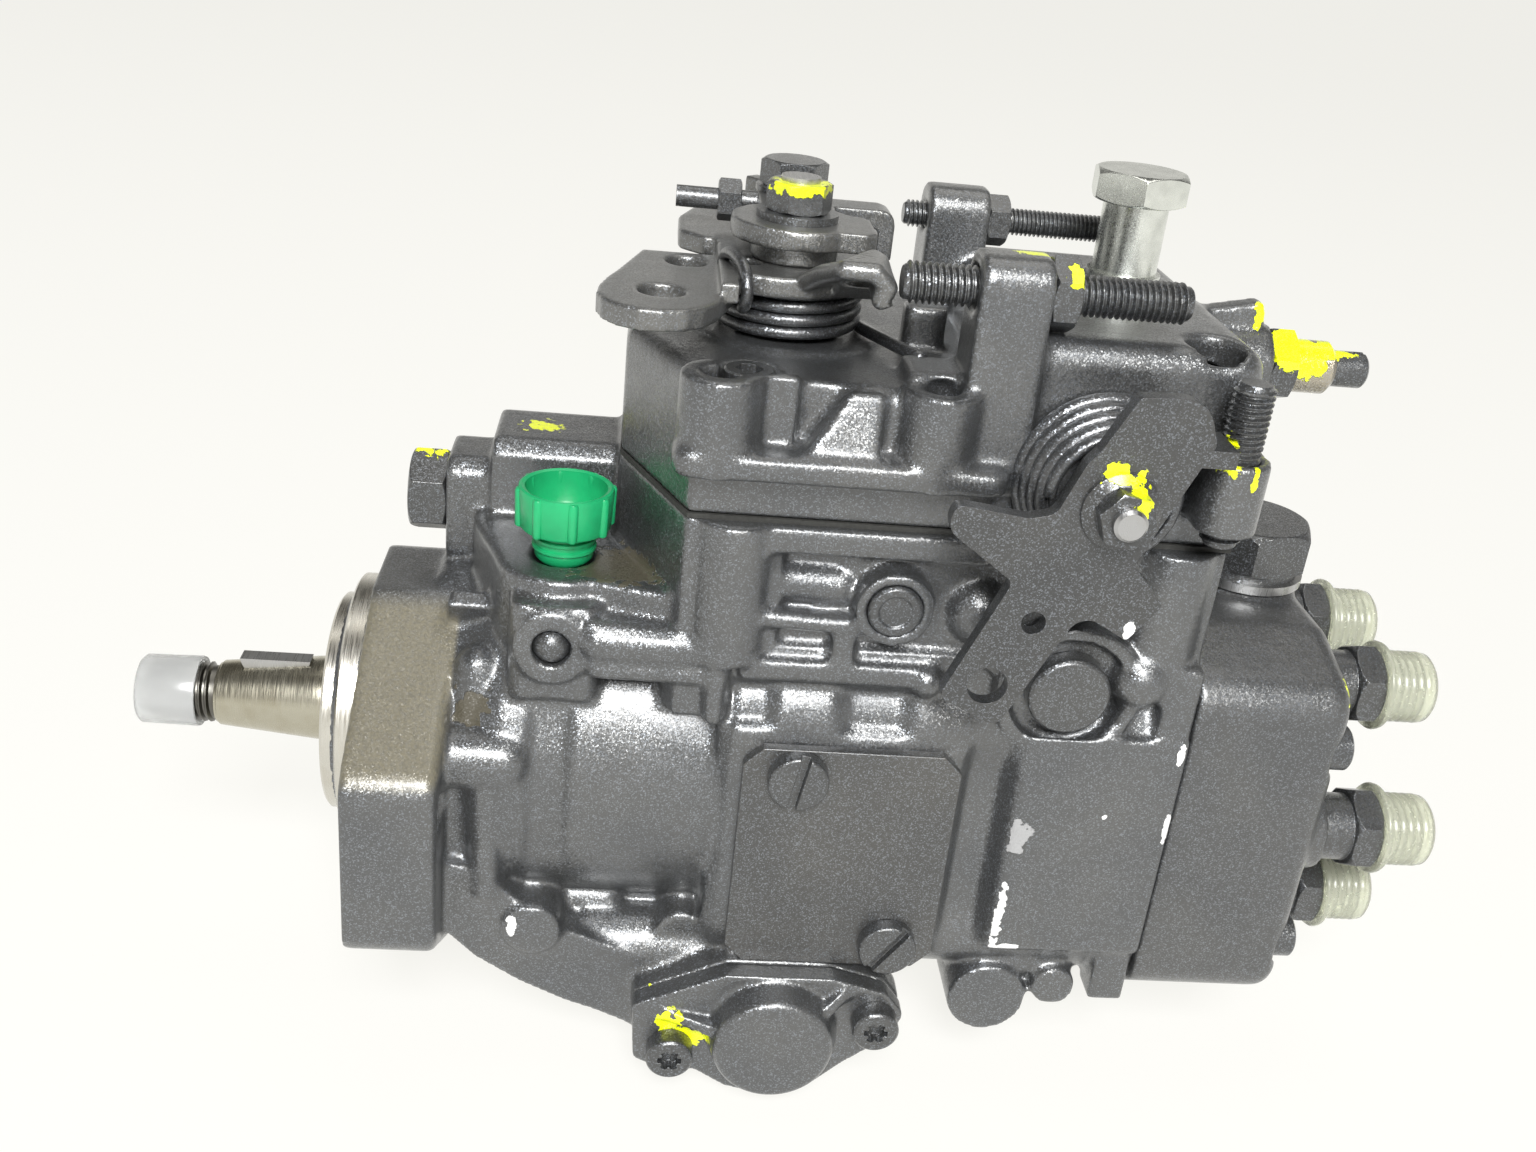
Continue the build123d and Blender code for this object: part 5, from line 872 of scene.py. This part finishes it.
clear = plastic("clear_plastic", (0.95, 0.96, 0.95), 0.2, 0.7, 0.97)
sleeve = turned([(-41.0, 7.25), (-41.0, 8.0), (-41.4, 8.15), (-53.6, 7.9), (-54.3, 7.3),
                 (-54.5, 6.4), (-54.5, 0), (-53.5, 0), (-53.5, 6.6), (-53.0, 7.1),
                 (-41.0, 7.25)], 64)
piece("shaft_cap_moulded", sleeve, clear, "drive_shaft", ("shaft_thread_cap",),
      sharp=45)

# ---- everything else keeps the frame's own mesh --------------------------------------------

sleeve_metal = paint("sleeve_metal", colour=(0.42, 0.38, 0.30), cast=0.05, gloss=0.3, marks=(
    (YELLOW, (199.5, -3.0, 100.5), (4.5, 7.0, 4.6)),
    (YELLOW, (204.0, -2.0, 102.5), (3.0, 5.0, 2.6)),
))
own_finish = {
    "spring_steel": machined("spring_steel", (0.10, 0.10, 0.105), 0.35, "Z", 0.5, 0.1),
    "machined_steel": inner_steel,
    "zinc_plate": zinc,
    "green_cap": green,
    "pale_cap": pale,
    "clear_cap": clear,
    "brass": sleeve_metal,
    "bush_bronze": machined("bronze", (0.55, 0.34, 0.14), 0.35),
    "seal_rubber": soft("seal_rubber", (0.03, 0.03, 0.032), 0.7),
    "gasket": soft("gasket_fibre", (0.04, 0.04, 0.036), 0.8),
    "fastener_paint": nut_paint,
    "lever_steel": lever_paint,
    "casting_paint": housing_paint,
    "head_paint": head_paint,
}
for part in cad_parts.values():
    slot = part.data.materials[0].name.split(".")[0]
    part.data.materials[0] = own_finish[slot]

# ---- floor, light and camera ---------------------------------------------------------------

# Lengths and places of the floor, the lamps and the camera are in metres.
FLOOR_GAP = 0.0003
FLOOR_HALF_WIDTH = 40.0
FLOOR_GLOW = 0.85
# The world's strength on the pump's paint, and its share straight overhead.
DIFFUSE_LIGHT = 0.16
CEILING_LIGHT = 0.12
LAMP_AIM = Vector((0.09, 0, 0.02))


def shown_share(owner):
    """1 on rays that show the surroundings: straight to the eye, mirrored, or through plastic."""
    path = add(owner, "ShaderNodeLightPath").outputs
    seen = calculated(owner, "MAXIMUM", path["Is Camera Ray"], path["Is Glossy Ray"])
    return calculated(owner, "MAXIMUM", seen, path["Is Transmission Ray"])


floor_shape = bmesh.new()
bmesh.ops.create_grid(floor_shape, x_segments=1, y_segments=1, size=FLOOR_HALF_WIDTH)
bmesh.ops.translate(floor_shape, vec=(0, 0, cad_box[0][2] - FLOOR_GAP), verts=floor_shape.verts)
floor_mesh = bpy.data.meshes.new("paper_floor")
floor_shape.to_mesh(floor_mesh)
floor_shape.free()
floor = bpy.data.objects.new("paper_floor", floor_mesh)
bpy.context.scene.collection.objects.link(floor)
paper = finish("paper", (0.90, 0.90, 0.90), 0.0, 0.9)
glow = add(paper, "ShaderNodeEmission", Color=(1.0, 0.99, 0.94, 1))
both = add(paper, "ShaderNodeMixShader")
link(paper, spread(paper, shown_share(paper), 0.0, 1.0, 0.0, FLOOR_GLOW), both.inputs["Fac"])
link(paper, shader_of(paper).outputs["BSDF"], both.inputs[1])
link(paper, glow.outputs["Emission"], both.inputs[2])
link(paper, both.outputs["Shader"], paper.node_tree.nodes["Material Output"].inputs["Surface"])
floor_mesh.materials.append(paper)

# The world is white where it is seen or mirrored near the horizon, and darker overhead.
world = bpy.data.worlds.new("studio")
bpy.context.scene.world = world
world.use_nodes = True
sky = world.node_tree.nodes["Background"]
sky.inputs["Color"].default_value = (1.0, 0.985, 0.94, 1)
light_level = spread(world, shown_share(world), 0.0, 1.0, DIFFUSE_LIGHT, 1.0)
height = add(world, "ShaderNodeSeparateXYZ")
direction = add(world, "ShaderNodeTexCoord")
link(world, direction.outputs["Generated"], height.inputs["Vector"])
ceiling = spread(world, height.outputs["Z"], 0.05, 0.5, 1.0, CEILING_LIGHT)
link(world, calculated(world, "MULTIPLY", light_level, ceiling), sky.inputs["Strength"])


def lamp(name, place, size, power, colour):
    """A soft square lamp at a place, turned towards the pump."""
    data = bpy.data.lights.new(name, "AREA")
    data.size = size
    data.energy = power
    data.color = colour
    made = bpy.data.objects.new(name, data)
    made.location = place
    made.rotation_euler = (LAMP_AIM - Vector(place)).to_track_quat("-Z", "Y").to_euler()
    bpy.context.scene.collection.objects.link(made)


lamp("front_lamp", (0.05, -1.25, 1.10), 0.6, 44, (1.0, 1.0, 1.0))
lamp("top_lamp", (0.3, 0.45, 1.7), 1.2, 8, (1.0, 0.98, 0.94))

# The camera's focal length and picture width in pixels, its sensor in millimetres, its angles in
# radians and its place.
FOCAL_LENGTH, PICTURE_WIDTH, SENSOR_WIDTH = 1504.989, 1536, 36
YAW, PITCH, ROLL = 0.103, 0.441, 0.107
CAMERA_PLACE = (0.05513, -0.31010, 0.18567)

camera_data = bpy.data.cameras.new("view")
camera_data.lens = FOCAL_LENGTH * SENSOR_WIDTH / PICTURE_WIDTH
camera_data.sensor_width = SENSOR_WIDTH
camera = bpy.data.objects.new("view", camera_data)
bpy.context.scene.collection.objects.link(camera)
ahead = Vector((math.sin(YAW) * math.cos(PITCH), math.cos(YAW) * math.cos(PITCH),
                -math.sin(PITCH)))
level = Vector((math.cos(YAW), -math.sin(YAW), 0))
lift = level.cross(ahead)
right = math.cos(ROLL) * level + math.sin(ROLL) * lift
upward = math.cos(ROLL) * lift - math.sin(ROLL) * level
turn = Matrix((right, upward, -ahead)).transposed()
camera.matrix_world = Matrix.Translation(CAMERA_PLACE) @ turn.to_4x4()
bpy.context.scene.camera = camera
bpy.context.scene.view_settings.view_transform = "Standard"
